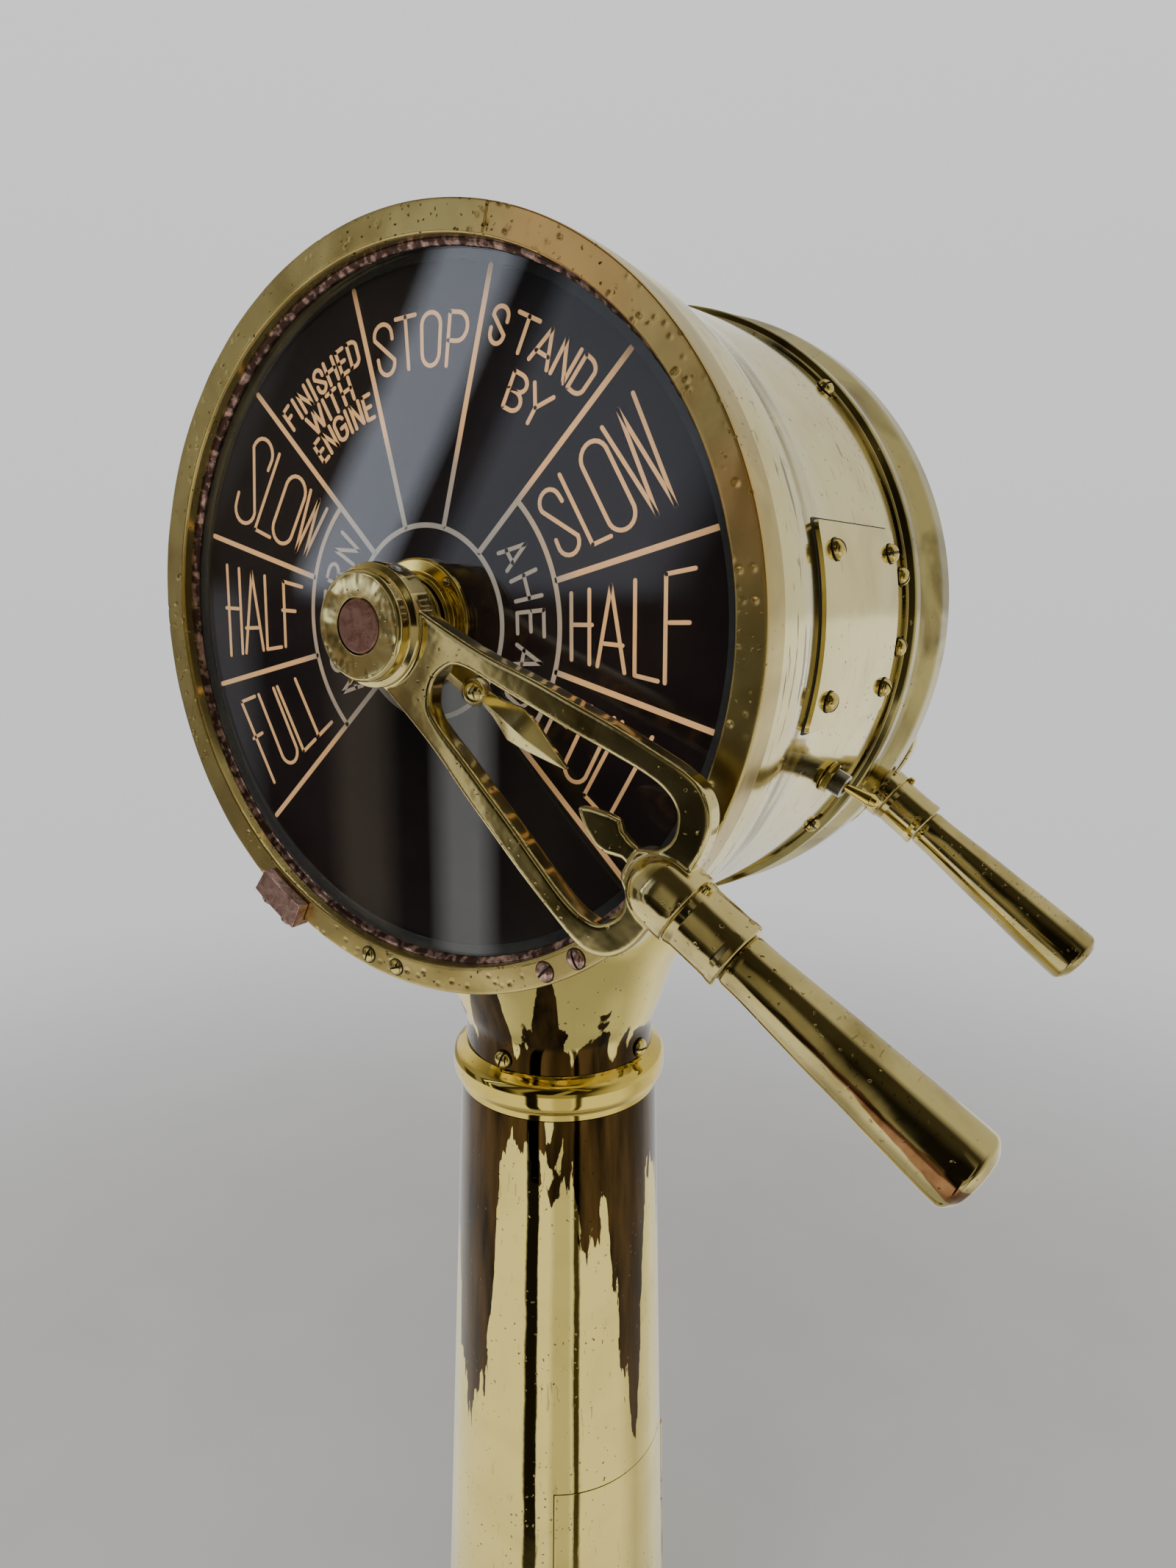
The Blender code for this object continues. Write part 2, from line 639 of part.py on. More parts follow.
def lever_opening():
    """The window in the lever's frame, which ends in two lobes beside the arrow's root."""
    half = [
        (6, 39.5), (11.5, 43), (15, 50), (17.2, 65), (20.5, 82), (23.2, 96), (28, 118), (31, 133),
        (31.6, 143), (29.4, 150.4), (24, 154.6), (17.6, 156), (11.4, 153.4), (8, 150),
    ]
    return in_mm(mirrored(half))


def leaf_outline():
    """The pointed leaf that looks back from the elbow to the dial."""
    half = [(0.6, 117), (4.2, 124), (7.4, 134), (6.6, 138.5), (4, 142), (3.6, 152)]
    return in_mm(mirrored(half))


def lever(name, side, angle):
    """One lever casting: hub, open frame, elbow leaf and handle socket."""
    seat = {"parent": side, "rotation": (0, 0, -angle)}
    arms = prism(name, lever_outline(), LEVER_BACK, LEVER_FRONT, polished_brass(), **seat)
    cut(arms, prism("lever_window", lever_opening(), 0, 40 * MM, polished_brass(), **seat))
    leaf_back = LEVER_BACK + 0.7 * MM
    leaf = prism("elbow_leaf", leaf_outline(), leaf_back, leaf_back + 3.5 * MM, polished_brass(), **seat)
    join(arms, leaf)
    hub_profile = [
        (0, HUB_FRONT), (21 * MM, HUB_FRONT), (22.8 * MM, HUB_FRONT - 1.6 * MM), (22.8 * MM, 23.4 * MM),
        (25.6 * MM, 22.4 * MM), (26 * MM, 21.4 * MM), (26 * MM, 10.5 * MM), (0, 10.5 * MM),
    ]
    join(arms, turned("hub", hub_profile, SHAFT_SEGMENTS, polished_brass(), **seat))
    join(arms, place("socket", socket_mesh(), polished_brass(), **seat))
    bore = rod_profile(SHAFT_R + GAP, 0, 60 * MM)
    cut(arms, turned("hub_bore", bore, SHAFT_SEGMENTS, steel(), parent=side))
    tang_hole = turned_mesh(rod_profile(6.4 * MM, 175 * MM, 220 * MM), SMALL_SEGMENTS)
    lay_along_lever(tang_hole)
    cut(arms, place("tang_hole", tang_hole, steel(), **seat))


def lay_along_lever(shape):
    """Turns a shape made about Z so that its axis lies along the lever, in the handle's plane."""
    turn = Matrix.Translation((0, 0, LEVER_PLANE)) @ Matrix.Rotation(-math.pi / 2, 4, "X")
    bmesh.ops.transform(shape, matrix=turn, verts=shape.verts)


def socket_mesh():
    """The domed elbow and the socket that takes the handle."""
    dome = [(14.7 * math.sin(t), 165 - 15.5 * math.cos(t)) for t in (0.5, 1, 1.57)]
    rim = SOCKET_END / MM
    rest = [(14.7, 175), (13.4, 178), (13.6, rim - 1.4), (13, rim), (0, rim)]
    shape = turned_mesh(in_mm([(0, 149.5)] + dome + rest), SHAFT_SEGMENTS)
    lay_along_lever(shape)
    return shape


def grip(name, side, angle, end):
    """The handle: it swells towards a slightly domed end, and its tang stands in the socket."""
    root, tip = (SOCKET_END + GAP) / MM, end / MM
    profile = [
        (0, tip), (11, tip - 0.9), (15, tip - 4), (15.4, tip - 8), (14.5, 280), (13, 246), (11.3, 216),
        (10.8, root), (5.9, root), (5.9, 178), (0, 178),
    ]
    shape = turned_mesh(in_mm(profile), SHAFT_SEGMENTS)
    lay_along_lever(shape)
    place(name, shape, polished_brass(), parent=side, rotation=(0, 0, -angle))


def reply_pointer(name, side, angle):
    """The reply pointer: a hub on the sleeve, a neck and a ridged leaf with a sharp tip."""
    seat = {"parent": side, "rotation": (0, 0, -angle)}
    boss = tube_profile(19 * MM, SLEEVE_R + 0.8 * MM, 0, 9 * MM)
    hub = turned(name, boss, SHAFT_SEGMENTS, polished_brass(), **seat)
    half = [(5.5, 16.6), (5.5, 46), (3.6, 54), (4.4, 60), (7.8, 71), (6.2, 79), (0.5, 100)]
    outline = in_mm(mirrored(half))
    join(hub, prism("pointer_leaf", outline, 1.4 * MM, 7.4 * MM, polished_brass(), **seat))


# Works inside the head

def gear_outline(phase):
    """A spur gear with straight-sided teeth and generous backlash. phase is one tooth's angle."""
    root, tip = GEAR_PITCH_R - 3.2 * MM, GEAR_PITCH_R + 2 * MM
    root_half, tip_half = 3.1 * MM, 1.4 * MM
    points = []
    for tooth in range(GEAR_TEETH):
        middle = phase + tooth * 2 * math.pi / GEAR_TEETH
        for half, radius in ((-root_half, root), (-tip_half, tip), (tip_half, tip), (root_half, root)):
            turn = middle + half / radius
            points.append((radius * math.cos(turn), radius * math.sin(turn)))
    return points


def matching_hole(outline, radius):
    """A round hole with one point beside each point of the outline."""
    return [tuple(Vector(point).normalized() * radius) for point in outline]


def main_shaft(centre):
    """The lever shaft, which runs from one lever's hub through both dials to the other's."""
    reach = HUB_FRONT + GAP
    rod = rod_profile(SHAFT_R, -REAR_Y - reach, -FRONT_Y + reach, 0.6 * MM)
    turned("main_shaft", rod, SHAFT_SEGMENTS, copper(), parent=centre)


def reply_sleeve(name, side, centre, inner_end, gear_low):
    """The sleeve that carries one reply pointer, with its gear cut in one piece."""
    outer_end = (-FRONT_Y if side > 0 else REAR_Y) + 8.6 * MM
    low, high = sorted((side * inner_end, side * outer_end))
    sleeve = turned(name, rod_profile(SLEEVE_R, low, high), SHAFT_SEGMENTS, cast_brass(), parent=centre)
    outline = gear_outline(math.pi / 2)
    gear = prism("sleeve_gear", outline, gear_low, gear_low + GEAR_WIDTH, cast_brass(), parent=centre)
    join(sleeve, gear)
    bore = rod_profile(SLEEVE_BORE_R, low - 5 * MM, high + 5 * MM)
    cut(sleeve, turned("sleeve_bore", bore, SHAFT_SEGMENTS, steel(), parent=centre))


def reply_layshaft(centre):
    """The shaft above the lever shaft whose two pinions turn both pointers together."""
    top = (0, LAYSHAFT_RISE, 0)
    rod = rod_profile(4 * MM, -73 * MM, 73 * MM)
    shaft = turned("reply_layshaft", rod, SMALL_SEGMENTS, steel(), parent=centre, location=top)
    phase = math.pi / 2 + math.pi / GEAR_TEETH
    for low in (-58 * MM, 50 * MM):
        teeth = gear_outline(phase)
        pinion = prism("pinion", teeth, low, low + GEAR_WIDTH, cast_brass(), parent=centre, location=top)
        join(shaft, pinion)
    star = [
        (radius * MM * math.cos(turn), radius * MM * math.sin(turn))
        for turn, radius in ((math.pi * i / 8, 18 if i % 2 else 14) for i in range(16))
    ]
    join(shaft, prism("trip_star", star, -26 * MM, -20 * MM, steel(), parent=centre, location=top))


def sprocket(name, bore, chain_y, centre):
    """A toothed chain wheel."""
    teeth = 12
    points = []
    for index in range(teeth * 2):
        radius = SPROCKET_R if index % 2 else SPROCKET_R - 3.5 * MM
        turn = math.pi * index / teeth
        points.append((radius * math.cos(turn), radius * math.sin(turn)))
    middle = -chain_y
    half = SPROCKET_WIDTH / 2 - 1 * MM
    hole = matching_hole(points, bore)
    prism(name, points, middle - half, middle + half, steel(), hole=hole, parent=centre)


def chain(name, chain_y):
    """One chain over its wheel and down through the column, drawn as a plain band."""
    inner = SPROCKET_R + 0.6 * MM
    outer = inner + CHAIN_THICKNESS
    drop = -(SHAFT_Z - 0.6 * MM)
    over = arc(outer, 0, math.pi, 16)
    under = arc(inner, math.pi, 0, 16)
    outline = [(outer, drop)] + over + [(-outer, drop), (-inner, drop)] + under + [(inner, drop)]
    middle = -chain_y
    half = SPROCKET_WIDTH / 2
    place_at = {"location": (0, 0, SHAFT_Z), "rotation": FRONT_TURN}
    prism(name, outline, middle - half, middle + half, steel(), **place_at)


def detent_wheel(centre):
    """The notched wheel that gives each order its click, one notch for each sector."""
    points = []
    for index in range(DETENT_NOTCHES):
        middle = math.pi + index * DETENT_PITCH
        for offset, radius in ((-0.13, 26), (-0.06, 23), (0.06, 23), (0.13, 26)):
            points.append((radius * MM * math.cos(middle + offset), radius * MM * math.sin(middle + offset)))
    wheel = prism("detent_wheel", points, 2 * MM, 8 * MM, steel(), parent=centre)
    bore = rod_profile(SHAFT_R + GAP, -5 * MM, 15 * MM)
    cut(wheel, turned("detent_bore", bore, SHAFT_SEGMENTS, steel(), parent=centre))


def inner_frame(centre):
    """Two bearing plates with their tie bars. It also carries the bell, its hammer and the detent."""
    plate_half = 55 * MM
    low, high = -48 * MM, 84 * MM
    front_plate = (-plate_half, low, 66 * MM), (plate_half, high, 70 * MM)
    frame_piece = box("inner_frame", *front_plate, cast_brass(), parent=centre)
    parts = [
        ((-plate_half, low, -70 * MM), (plate_half, high, -66 * MM)),
        ((-112 * MM, 79 * MM, -60 * MM), (50 * MM, 84 * MM, 60 * MM)),
        ((-50 * MM, 79 * MM, -69 * MM), (50 * MM, 84 * MM, 69 * MM)),
        ((-51 * MM, -8 * MM, -69 * MM), (-45 * MM, 8 * MM, 69 * MM)),
        ((45 * MM, -8 * MM, -69 * MM), (51 * MM, 8 * MM, 69 * MM)),
    ]
    for corner, opposite in parts:
        join(frame_piece, box("frame_bar", corner, opposite, cast_brass(), parent=centre))
    pin = rod_profile(2.2 * MM, -68 * MM, -17 * MM)
    pin_seat = {"parent": centre, "location": HAMMER_PIVOT}
    join(frame_piece, turned("hammer_pin", pin, SMALL_SEGMENTS, steel(), **pin_seat))
    sleeve_room = rod_profile(SLEEVE_R + 0.9 * MM, -90 * MM, 90 * MM)
    cut(frame_piece, turned("sleeve_room", sleeve_room, SHAFT_SEGMENTS, steel(), parent=centre))
    layshaft_room = rod_profile(4.6 * MM, -90 * MM, 90 * MM)
    seat = {"parent": centre, "location": (0, LAYSHAFT_RISE, 0)}
    cut(frame_piece, turned("layshaft_room", layshaft_room, SMALL_SEGMENTS, steel(), **seat))
    plunger_room = rod_profile(3.7 * MM, -60 * MM, -40 * MM)
    seat = {"parent": centre, "location": (0, 0, DETENT_HEIGHT), "rotation": (0, math.pi / 2, 0)}
    cut(frame_piece, turned("plunger_room", plunger_room, SCREW_SEGMENTS, steel(), **seat))


def detent_plunger(centre):
    """The sprung plunger beside the notched wheel. Its round nose stands just clear of the wheel."""
    profile = [
        (0, -26.5), (1.6, -27), (2.9, -29), (2.9, -60), (4.8, -60), (4.8, -63), (0, -63),
    ]
    seat = {"parent": centre, "location": (0, 0, DETENT_HEIGHT), "rotation": (0, math.pi / 2, 0)}
    turned("detent_plunger", in_mm(profile), SCREW_SEGMENTS, steel(), **seat)


def bell_gong(centre):
    """A bowl bell hung under the frame's arm."""
    outside = [
        (2.2, 78.6), (13, 78), (24, 73.5), (30, 65.5), (32, 57), (29.8, 57), (28, 64.5), (22.6, 71.6),
        (12.6, 75.8), (2.2, 76.4),
    ]
    turned(
        "bell_gong", in_mm(outside), SHAFT_SEGMENTS, polished_brass(), parent=centre,
        location=(-85 * MM, 0, -23 * MM), rotation=(-math.pi / 2, 0, 0),
    )


def bell_hammer(centre):
    """The hammer: its ball stands beside the bell's rim and its tail beside the trip star."""
    seat = {"parent": centre, "location": HAMMER_PIVOT}
    eye = tube_profile(5 * MM, 2.6 * MM, -26 * MM, -20 * MM)
    hammer = turned("bell_hammer", eye, SMALL_SEGMENTS, steel(), **seat)
    arm_ends = (-1.5 * MM, 3.6 * MM, -25 * MM), (1.5 * MM, 31 * MM, -21 * MM)
    join(hammer, box("hammer_arm", *arm_ends, steel(), **seat))
    tail_turn = (0, 0, math.radians(30))
    tail_ends = (3.6 * MM, -1.5 * MM, -25 * MM), (31 * MM, 1.5 * MM, -21 * MM)
    join(hammer, box("hammer_tail", *tail_ends, steel(), rotation=tail_turn, **seat))
    ball = bmesh.new()
    bmesh.ops.create_icosphere(ball, subdivisions=2, radius=4.6 * MM)
    spot = Vector(HAMMER_PIVOT) + Vector((0, 33 * MM, -23 * MM))
    join(hammer, place("hammer_ball", ball, cast_brass(), parent=centre, location=spot))


def lamp(centre):
    """The lamp holder at the lower right of the drum and its bulb."""
    turn_angle = math.radians(135)
    away = dial_point(1, turn_angle)
    turn = away.to_track_quat("Z", "Y").to_euler()
    holder = [
        (0, 148), (13, 148), (13, 145), (9.5, 144), (9.5, 116), (11, 114), (11, 110), (7.5, 110),
        (7.5, 122), (0, 122),
    ]
    seat = {"parent": centre, "rotation": turn}
    turned("lamp_holder", in_mm(holder), SMALL_SEGMENTS, black_paint(), **seat)
    bulb = [
        (0, 121), (6.6, 121), (6.6, 110), (9, 105), (13, 99), (14.2, 93), (12.4, 86.5), (7.6, 82), (0, 80),
    ]
    turned("lamp_bulb", in_mm(bulb), SMALL_SEGMENTS, clear_glass(), **seat)


def switch_frame():
    return side_frame(SWITCH_ANGLE, SWITCH_Y, SWITCH_PIVOT_R)


def toggle_switch():
    """The lamp switch: body inside the drum, threaded bushing through its wall, nut and bat lever."""
    seat = switch_frame()
    case = (-6.6 * MM, -12 * MM, -34 * MM), (6.6 * MM, 12 * MM, -15.6 * MM)
    body = box("toggle_switch_body", *case, black_paint(), parent=seat)
    bushing = [(0, 5.5), (4.6, 5.5), (5.95, 4.6), (5.95, -16.4), (0, -16.4)]
    join(body, turned("bushing", in_mm(bushing), SMALL_SEGMENTS, steel(), parent=seat))
    nut = prism("switch_nut", circle(8.6 * MM, 6), -4 * MM, -1.6 * MM, steel(), parent=seat)
    join(body, nut)
    bat_room = rod_profile(4.3 * MM, -6 * MM, 8 * MM)
    cut(body, turned("bat_room", bat_room, SMALL_SEGMENTS, steel(), parent=seat))
    bat = [
        (0, 22.4), (2.4, 21.4), (3.3, 18), (1.7, 4), (1.6, 2.6), (2.6, 0), (2.2, -1.6), (0, -2.4),
    ]
    tilt = (-SWITCH_TILT, 0, 0)
    turned("toggle_bat", in_mm(bat), SCREW_SEGMENTS, steel(), parent=seat, rotation=tilt)


def remove_old_objects():
    for old in list(bpy.data.objects):
        bpy.data.objects.remove(old)


def build():
    remove_old_objects()
    front = frame("front_frame", (0, FRONT_Y, SHAFT_Z), FRONT_TURN)
    rear = frame("rear_frame", (0, REAR_Y, SHAFT_Z), REAR_TURN)
    centre = frame("shaft_frame", (0, 0, SHAFT_Z), FRONT_TURN)
    sole_plate()
    base_flange()
    deck_bolts()
    hinge = hinge_frame()
    bpy.context.view_layer.update()
    column_tube(hinge)
    access_door(hinge)
    door_hinge_pin(hinge)
    door_latch()
    collar_ring()
    neck_screws()
    drum_shell(front)
    front_bezel(front)
    rear_ring(rear)
    glazing("front", front)
    glazing("rear", rear)
    side_cover_plate(centre)
    bezel_clamp_block(front)
    lever("front_lever", front, LEVER_ANGLE)
    lever("rear_lever", rear, -REAR_LEVER_ANGLE)
    grip("front_grip", front, LEVER_ANGLE, FRONT_GRIP_END)
    grip("rear_grip", rear, -REAR_LEVER_ANGLE, REAR_GRIP_END)
    reply_pointer("reply_pointer_front", front, POINTER_ANGLE)
    reply_pointer("reply_pointer_rear", rear, -POINTER_ANGLE)
    main_shaft(centre)
    reply_sleeve("reply_sleeve_front", 1, centre, 40 * MM, 50 * MM)
    reply_sleeve("reply_sleeve_rear", -1, centre, 8 * MM, -58 * MM)
    reply_layshaft(centre)
    sprocket("order_sprocket", SHAFT_R + 0.3 * MM, ORDER_CHAIN_Y, centre)
    sprocket("reply_sprocket", SLEEVE_R + 0.3 * MM, REPLY_CHAIN_Y, centre)
    chain("order_chain", ORDER_CHAIN_Y)
    chain("reply_chain", REPLY_CHAIN_Y)
    detent_wheel(centre)
    detent_plunger(centre)
    inner_frame(centre)
    bell_gong(centre)
    bell_hammer(centre)
    lamp(centre)
    toggle_switch()


build()
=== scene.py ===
"""Looks of the pedestal engine telegraph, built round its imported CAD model.

Metres, +Z up, the front dial faces -Y. Shapes of the head are drawn in a face frame: local +Z points out of
the dial, local +Y up, and angles run clockwise from the top. Sizes in tables are millimetres.
"""

import math

import bmesh
import bpy
from mathutils import Matrix, Vector, noise


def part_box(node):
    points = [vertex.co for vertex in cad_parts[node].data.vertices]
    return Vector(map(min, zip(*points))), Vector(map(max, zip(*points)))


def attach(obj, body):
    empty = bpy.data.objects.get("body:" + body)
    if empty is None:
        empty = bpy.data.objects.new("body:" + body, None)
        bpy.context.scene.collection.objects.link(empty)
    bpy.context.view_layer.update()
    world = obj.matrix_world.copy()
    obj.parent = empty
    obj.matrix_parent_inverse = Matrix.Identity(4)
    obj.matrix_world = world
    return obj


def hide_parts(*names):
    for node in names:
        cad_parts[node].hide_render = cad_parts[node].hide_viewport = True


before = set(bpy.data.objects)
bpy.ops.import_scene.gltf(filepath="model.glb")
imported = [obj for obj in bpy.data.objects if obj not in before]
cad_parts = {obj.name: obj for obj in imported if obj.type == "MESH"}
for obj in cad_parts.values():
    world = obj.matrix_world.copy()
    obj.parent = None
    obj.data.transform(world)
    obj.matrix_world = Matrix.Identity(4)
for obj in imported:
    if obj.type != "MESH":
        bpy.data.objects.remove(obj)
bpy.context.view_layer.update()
MM = 0.001

# Places taken from the frame
bezel_low, bezel_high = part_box("front_bezel")
ring_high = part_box("rear_ring")[1]
SHAFT_Z = (bezel_low.z + bezel_high.z) / 2
BEZEL_R = (bezel_high.x - bezel_low.x) / 2 / MM
FRONT_Y = bezel_low.y
REAR_Y = ring_high.y
HEAD_DEPTH = (REAR_Y - FRONT_Y) / MM
QUARTER = math.pi / 2
FACING = Matrix.Rotation(QUARTER, 4, "X")
FRONT = Matrix.Translation((0, FRONT_Y, SHAFT_Z)) @ FACING
REAR = Matrix.Translation((0, REAR_Y, SHAFT_Z)) @ Matrix.Rotation(math.pi, 4, "Z") @ FACING
UPRIGHT = Matrix.Identity(4)

LEVER_ANGLE = math.radians(123.4)
REAR_LEVER_ANGLE = math.radians(126)
POINTER_ANGLE = math.radians(122.3)

CAMERA_OFFSET = Vector((302, -445.5, 20.5)) * MM     # from the column's axis at the shaft's height
CAMERA_YAW = math.radians(32.5624)
CAMERA_PITCH = math.radians(11.5452)
CAMERA_ROLL = math.radians(0.649)
CAMERA_LENS = 23.25
CAMERA_AZIMUTH = math.atan2(CAMERA_OFFSET.x, -CAMERA_OFFSET.y)


# Node helpers

def add(tree, kind, inputs=None, **settings):
    """Makes a shader node. inputs maps a socket's name or number to a value or to another socket."""
    made = tree.nodes.new("ShaderNode" + kind)
    for key, value in settings.items():
        setattr(made, key, value)
    for key, value in (inputs or {}).items():
        if isinstance(value, bpy.types.NodeSocket):
            tree.links.new(value, made.inputs[key])
        else:
            made.inputs[key].default_value = value
    return made


def math_node(tree, operation, first, second=0.0):
    return add(tree, "Math", {0: first, 1: second}, operation=operation).outputs[0]


def plus(tree, first, second):
    return math_node(tree, "ADD", first, second)


def minus(tree, first, second):
    return math_node(tree, "SUBTRACT", first, second)


def times(tree, first, second):
    return math_node(tree, "MULTIPLY", first, second)


def own_place(tree):
    """Where a point lies in the piece's own coordinates, in metres."""
    return add(tree, "TexCoord").outputs["Object"]


def split(tree, vector):
    return add(tree, "SeparateXYZ", {0: vector}).outputs


def mix_colour(tree, share, first, second):
    made = add(tree, "Mix", data_type="RGBA", clamp_factor=True)
    for socket, value in zip((made.inputs[0], made.inputs[6], made.inputs[7]), (share, first, second)):
        if isinstance(value, bpy.types.NodeSocket):
            tree.links.new(value, socket)
        elif isinstance(value, tuple):
            socket.default_value = (*value, 1)
        else:
            socket.default_value = value
    return made.outputs[2]


def ramp(tree, value, stops, interpolation="LINEAR"):
    """A colour ramp. Each stop is a place and a grey level or a colour."""
    made = add(tree, "ValToRGB", {0: value})
    made.color_ramp.interpolation = interpolation
    elements = made.color_ramp.elements
    while len(elements) < len(stops):
        elements.new(1)
    for element, (place, colour) in zip(elements, stops):
        element.position = place
        element.color = (*colour, 1) if isinstance(colour, tuple) else (colour, colour, colour, 1)
    return made.outputs[0]


def noise_field(tree, scale, detail=3.0, stretch=(1, 1, 1), distortion=0.0, offset=0.0):
    """Noise in the piece's own coordinates, scale in cycles per metre."""
    mapping = {0: own_place(tree), "Location": (offset, offset, offset), "Scale": stretch}
    placed = add(tree, "Mapping", mapping).outputs[0]
    settings = {"Vector": placed, "Scale": scale, "Detail": detail, "Distortion": distortion}
    return add(tree, "TexNoise", settings).outputs[0]


def new_material(name):
    material = bpy.data.materials.new(name)
    material.use_nodes = True
    tree = material.node_tree
    return material, tree, tree.nodes["Principled BSDF"]


def link(tree, output, shader, name):
    """Gives a shader's input a socket or a value."""
    if isinstance(output, bpy.types.NodeSocket):
        tree.links.new(output, shader.inputs[name])
    else:
        shader.inputs[name].default_value = output


def bumps(tree, shader, layers):
    """Chains bump nodes. Each layer is a height output and its depth in metres."""
    normal = None
    for height, depth in layers:
        inputs = {"Height": height, "Distance": depth, "Strength": 1.0}
        if normal:
            inputs["Normal"] = normal
        normal = add(tree, "Bump", inputs).outputs[0]
    link(tree, normal, shader, "Normal")


def coat(tree, shader, colour, roughness, layers=(), metallic=0.0):
    link(tree, colour, shader, "Base Color")
    link(tree, roughness, shader, "Roughness")
    link(tree, metallic, shader, "Metallic")
    if layers:
        bumps(tree, shader, layers)


# Materials

def pit_mask(tree, scale, share):
    """Scattered casting pits: 1 in a pit. They come in clusters."""
    where = own_place(tree)
    wobble = add(tree, "TexNoise", {"Vector": where, "Scale": scale * 1.6, "Detail": 2.0}).outputs[1]
    centred = add(tree, "VectorMath", {0: wobble, 1: (0.5, 0.5, 0.5)}, operation="SUBTRACT").outputs[0]
    small = add(tree, "VectorMath", {0: centred, "Scale": 0.9 / scale}, operation="SCALE").outputs[0]
    spot = add(tree, "VectorMath", {0: where, 1: small}, operation="ADD").outputs[0]
    cells = add(tree, "TexVoronoi", {"Vector": spot, "Scale": scale})
    near = ramp(tree, cells.outputs["Distance"], [(0.0, 1.0), (0.13, 1.0), (0.22, 0.0)])
    chosen = split(tree, cells.outputs["Color"])[0]
    some = math_node(tree, "GREATER_THAN", chosen, 1 - share)
    clusters = ramp(tree, noise_field(tree, 22, 2.0, offset=3.1), [(0.42, 0.0), (0.62, 1.0)])
    return times(tree, times(tree, near, some), clusters)


def dash_mask(tree, stretch, low=0.665):
    """Sparse short scratches along one direction."""
    fine = ramp(tree, noise_field(tree, 520, 2.0, stretch, 0.3, offset=1.7), [(low, 0.0), (low + 0.03, 1.0)])
    where = ramp(tree, noise_field(tree, 14, 2.0, offset=5.2), [(0.40, 0.15), (0.60, 1.0)])
    return times(tree, fine, where)


def brass(name, light, dark, stretch=(1, 1, 1), wear=0.5, rough=(0.06, 0.14), pits=0.25, waves=0.12,
          dashes=0.0, tint=None, tarnish_and_reflection=None, tarnish_and_reflection_colours=((0.085, 0.045, 0.012), (0.012, 0.008, 0.003))):
    """Polished cast brass: cloudy patina, sparse scratches, pits and hand-polished waves.

    tint is the colour of a blush on a front face's upper right. The last two arguments are a function that
    gets the tree and returns a mask, and the mask's two colours: brown dashes on the drum, a brown streak on
    the grip, painted dark reflections on the column and neck."""
    material, tree, shader = new_material(name)
    cloud = noise_field(tree, 26, 5.0, distortion=0.6)
    patina = ramp(tree, cloud, [(0.44, 0.0), (0.74, wear)])
    colour = mix_colour(tree, patina, light, dark)
    if tint:
        blush = ramp(tree, noise_field(tree, 9, 2.0, offset=7.3), [(0.36, 0.0), (0.56, 0.8)])
        across, up, out = split(tree, own_place(tree))
        facing = math_node(tree, "GREATER_THAN", out, -0.8 * MM)
        corner = plus(tree, across, up)
        upper = ramp(tree, times(tree, corner, 5), [(0.80, 0.0), (1.0, 1.0)])
        blush = times(tree, blush, times(tree, facing, upper))
        colour = mix_colour(tree, blush, colour, tint)
    if dashes:
        marks = times(tree, dash_mask(tree, stretch), dashes)
        colour = mix_colour(tree, marks, colour, (0.10, 0.065, 0.02))
    # Brown dashes on the drum, a brown streak on the grip, painted dark reflections on the column and neck
    if tarnish_and_reflection:
        tarnish_and_reflection_mask = tarnish_and_reflection(tree)
        mottle = ramp(tree, noise_field(tree, 120, 4.0, stretch), [(0.3, tarnish_and_reflection_colours[0]), (0.7, tarnish_and_reflection_colours[1])])
        colour = mix_colour(tree, tarnish_and_reflection_mask, colour, mottle)
    holes = pit_mask(tree, 330, pits)
    colour = mix_colour(tree, times(tree, holes, 0.9), colour, (0.05, 0.03, 0.012))
    polish = ramp(tree, noise_field(tree, 60, 4.0, stretch, offset=2.2), [(0.3, rough[0]), (0.75, rough[1])])
    layers = [
        (noise_field(tree, 24, 1.0), waves * 3.0 * MM),
        (noise_field(tree, 95, 2.0), waves * 0.4 * MM),
        (minus(tree, 1.0, holes), 0.3 * MM),
    ]
    coat(tree, shader, colour, polish, layers, 1.0)
    return material


def bearing(tree, x, y):
    """The azimuth from the camera's side towards +X, as a share of a whole turn with 0.5 at the camera."""
    azimuth = minus(tree, math_node(tree, "ARCTAN2", x, times(tree, y, -1)), CAMERA_AZIMUTH)
    return math_node(tree, "FRACT", plus(tree, math_node(tree, "DIVIDE", azimuth, 2 * math.pi), 0.5))


def azimuth_ramp(tree, around, stops):
    """A ramp whose stops are given in degrees from the camera's side."""
    return ramp(tree, around, [((degrees + 180) / 360, shade) for degrees, shade in stops])


def bearing_ramp(tree, stops):
    """A ramp over the azimuth round the column, in degrees from the camera's side towards +X."""
    x, y, height = split(tree, own_place(tree))
    return azimuth_ramp(tree, bearing(tree, x, y), stops), height


def ragged(tree, depth, amount):
    """A sharp mask where depth is positive, its edge drawn out in drips. Lengths in metres. It marks the
    painted dark reflections on the column and neck.
    """
    drips = noise_field(tree, 70, 4.0, (1, 1, 0.12), 1.2, offset=4.4)
    shreds = noise_field(tree, 260, 3.0, (1, 1, 0.25), offset=0.7)
    coarse = times(tree, minus(tree, drips, 0.5), amount)
    fine = times(tree, minus(tree, shreds, 0.5), amount * 0.25)
    edge = plus(tree, depth, plus(tree, coarse, fine))
    return ramp(tree, times(tree, edge, 60.0), [(0.0, 0.0), (0.12, 1.0)])


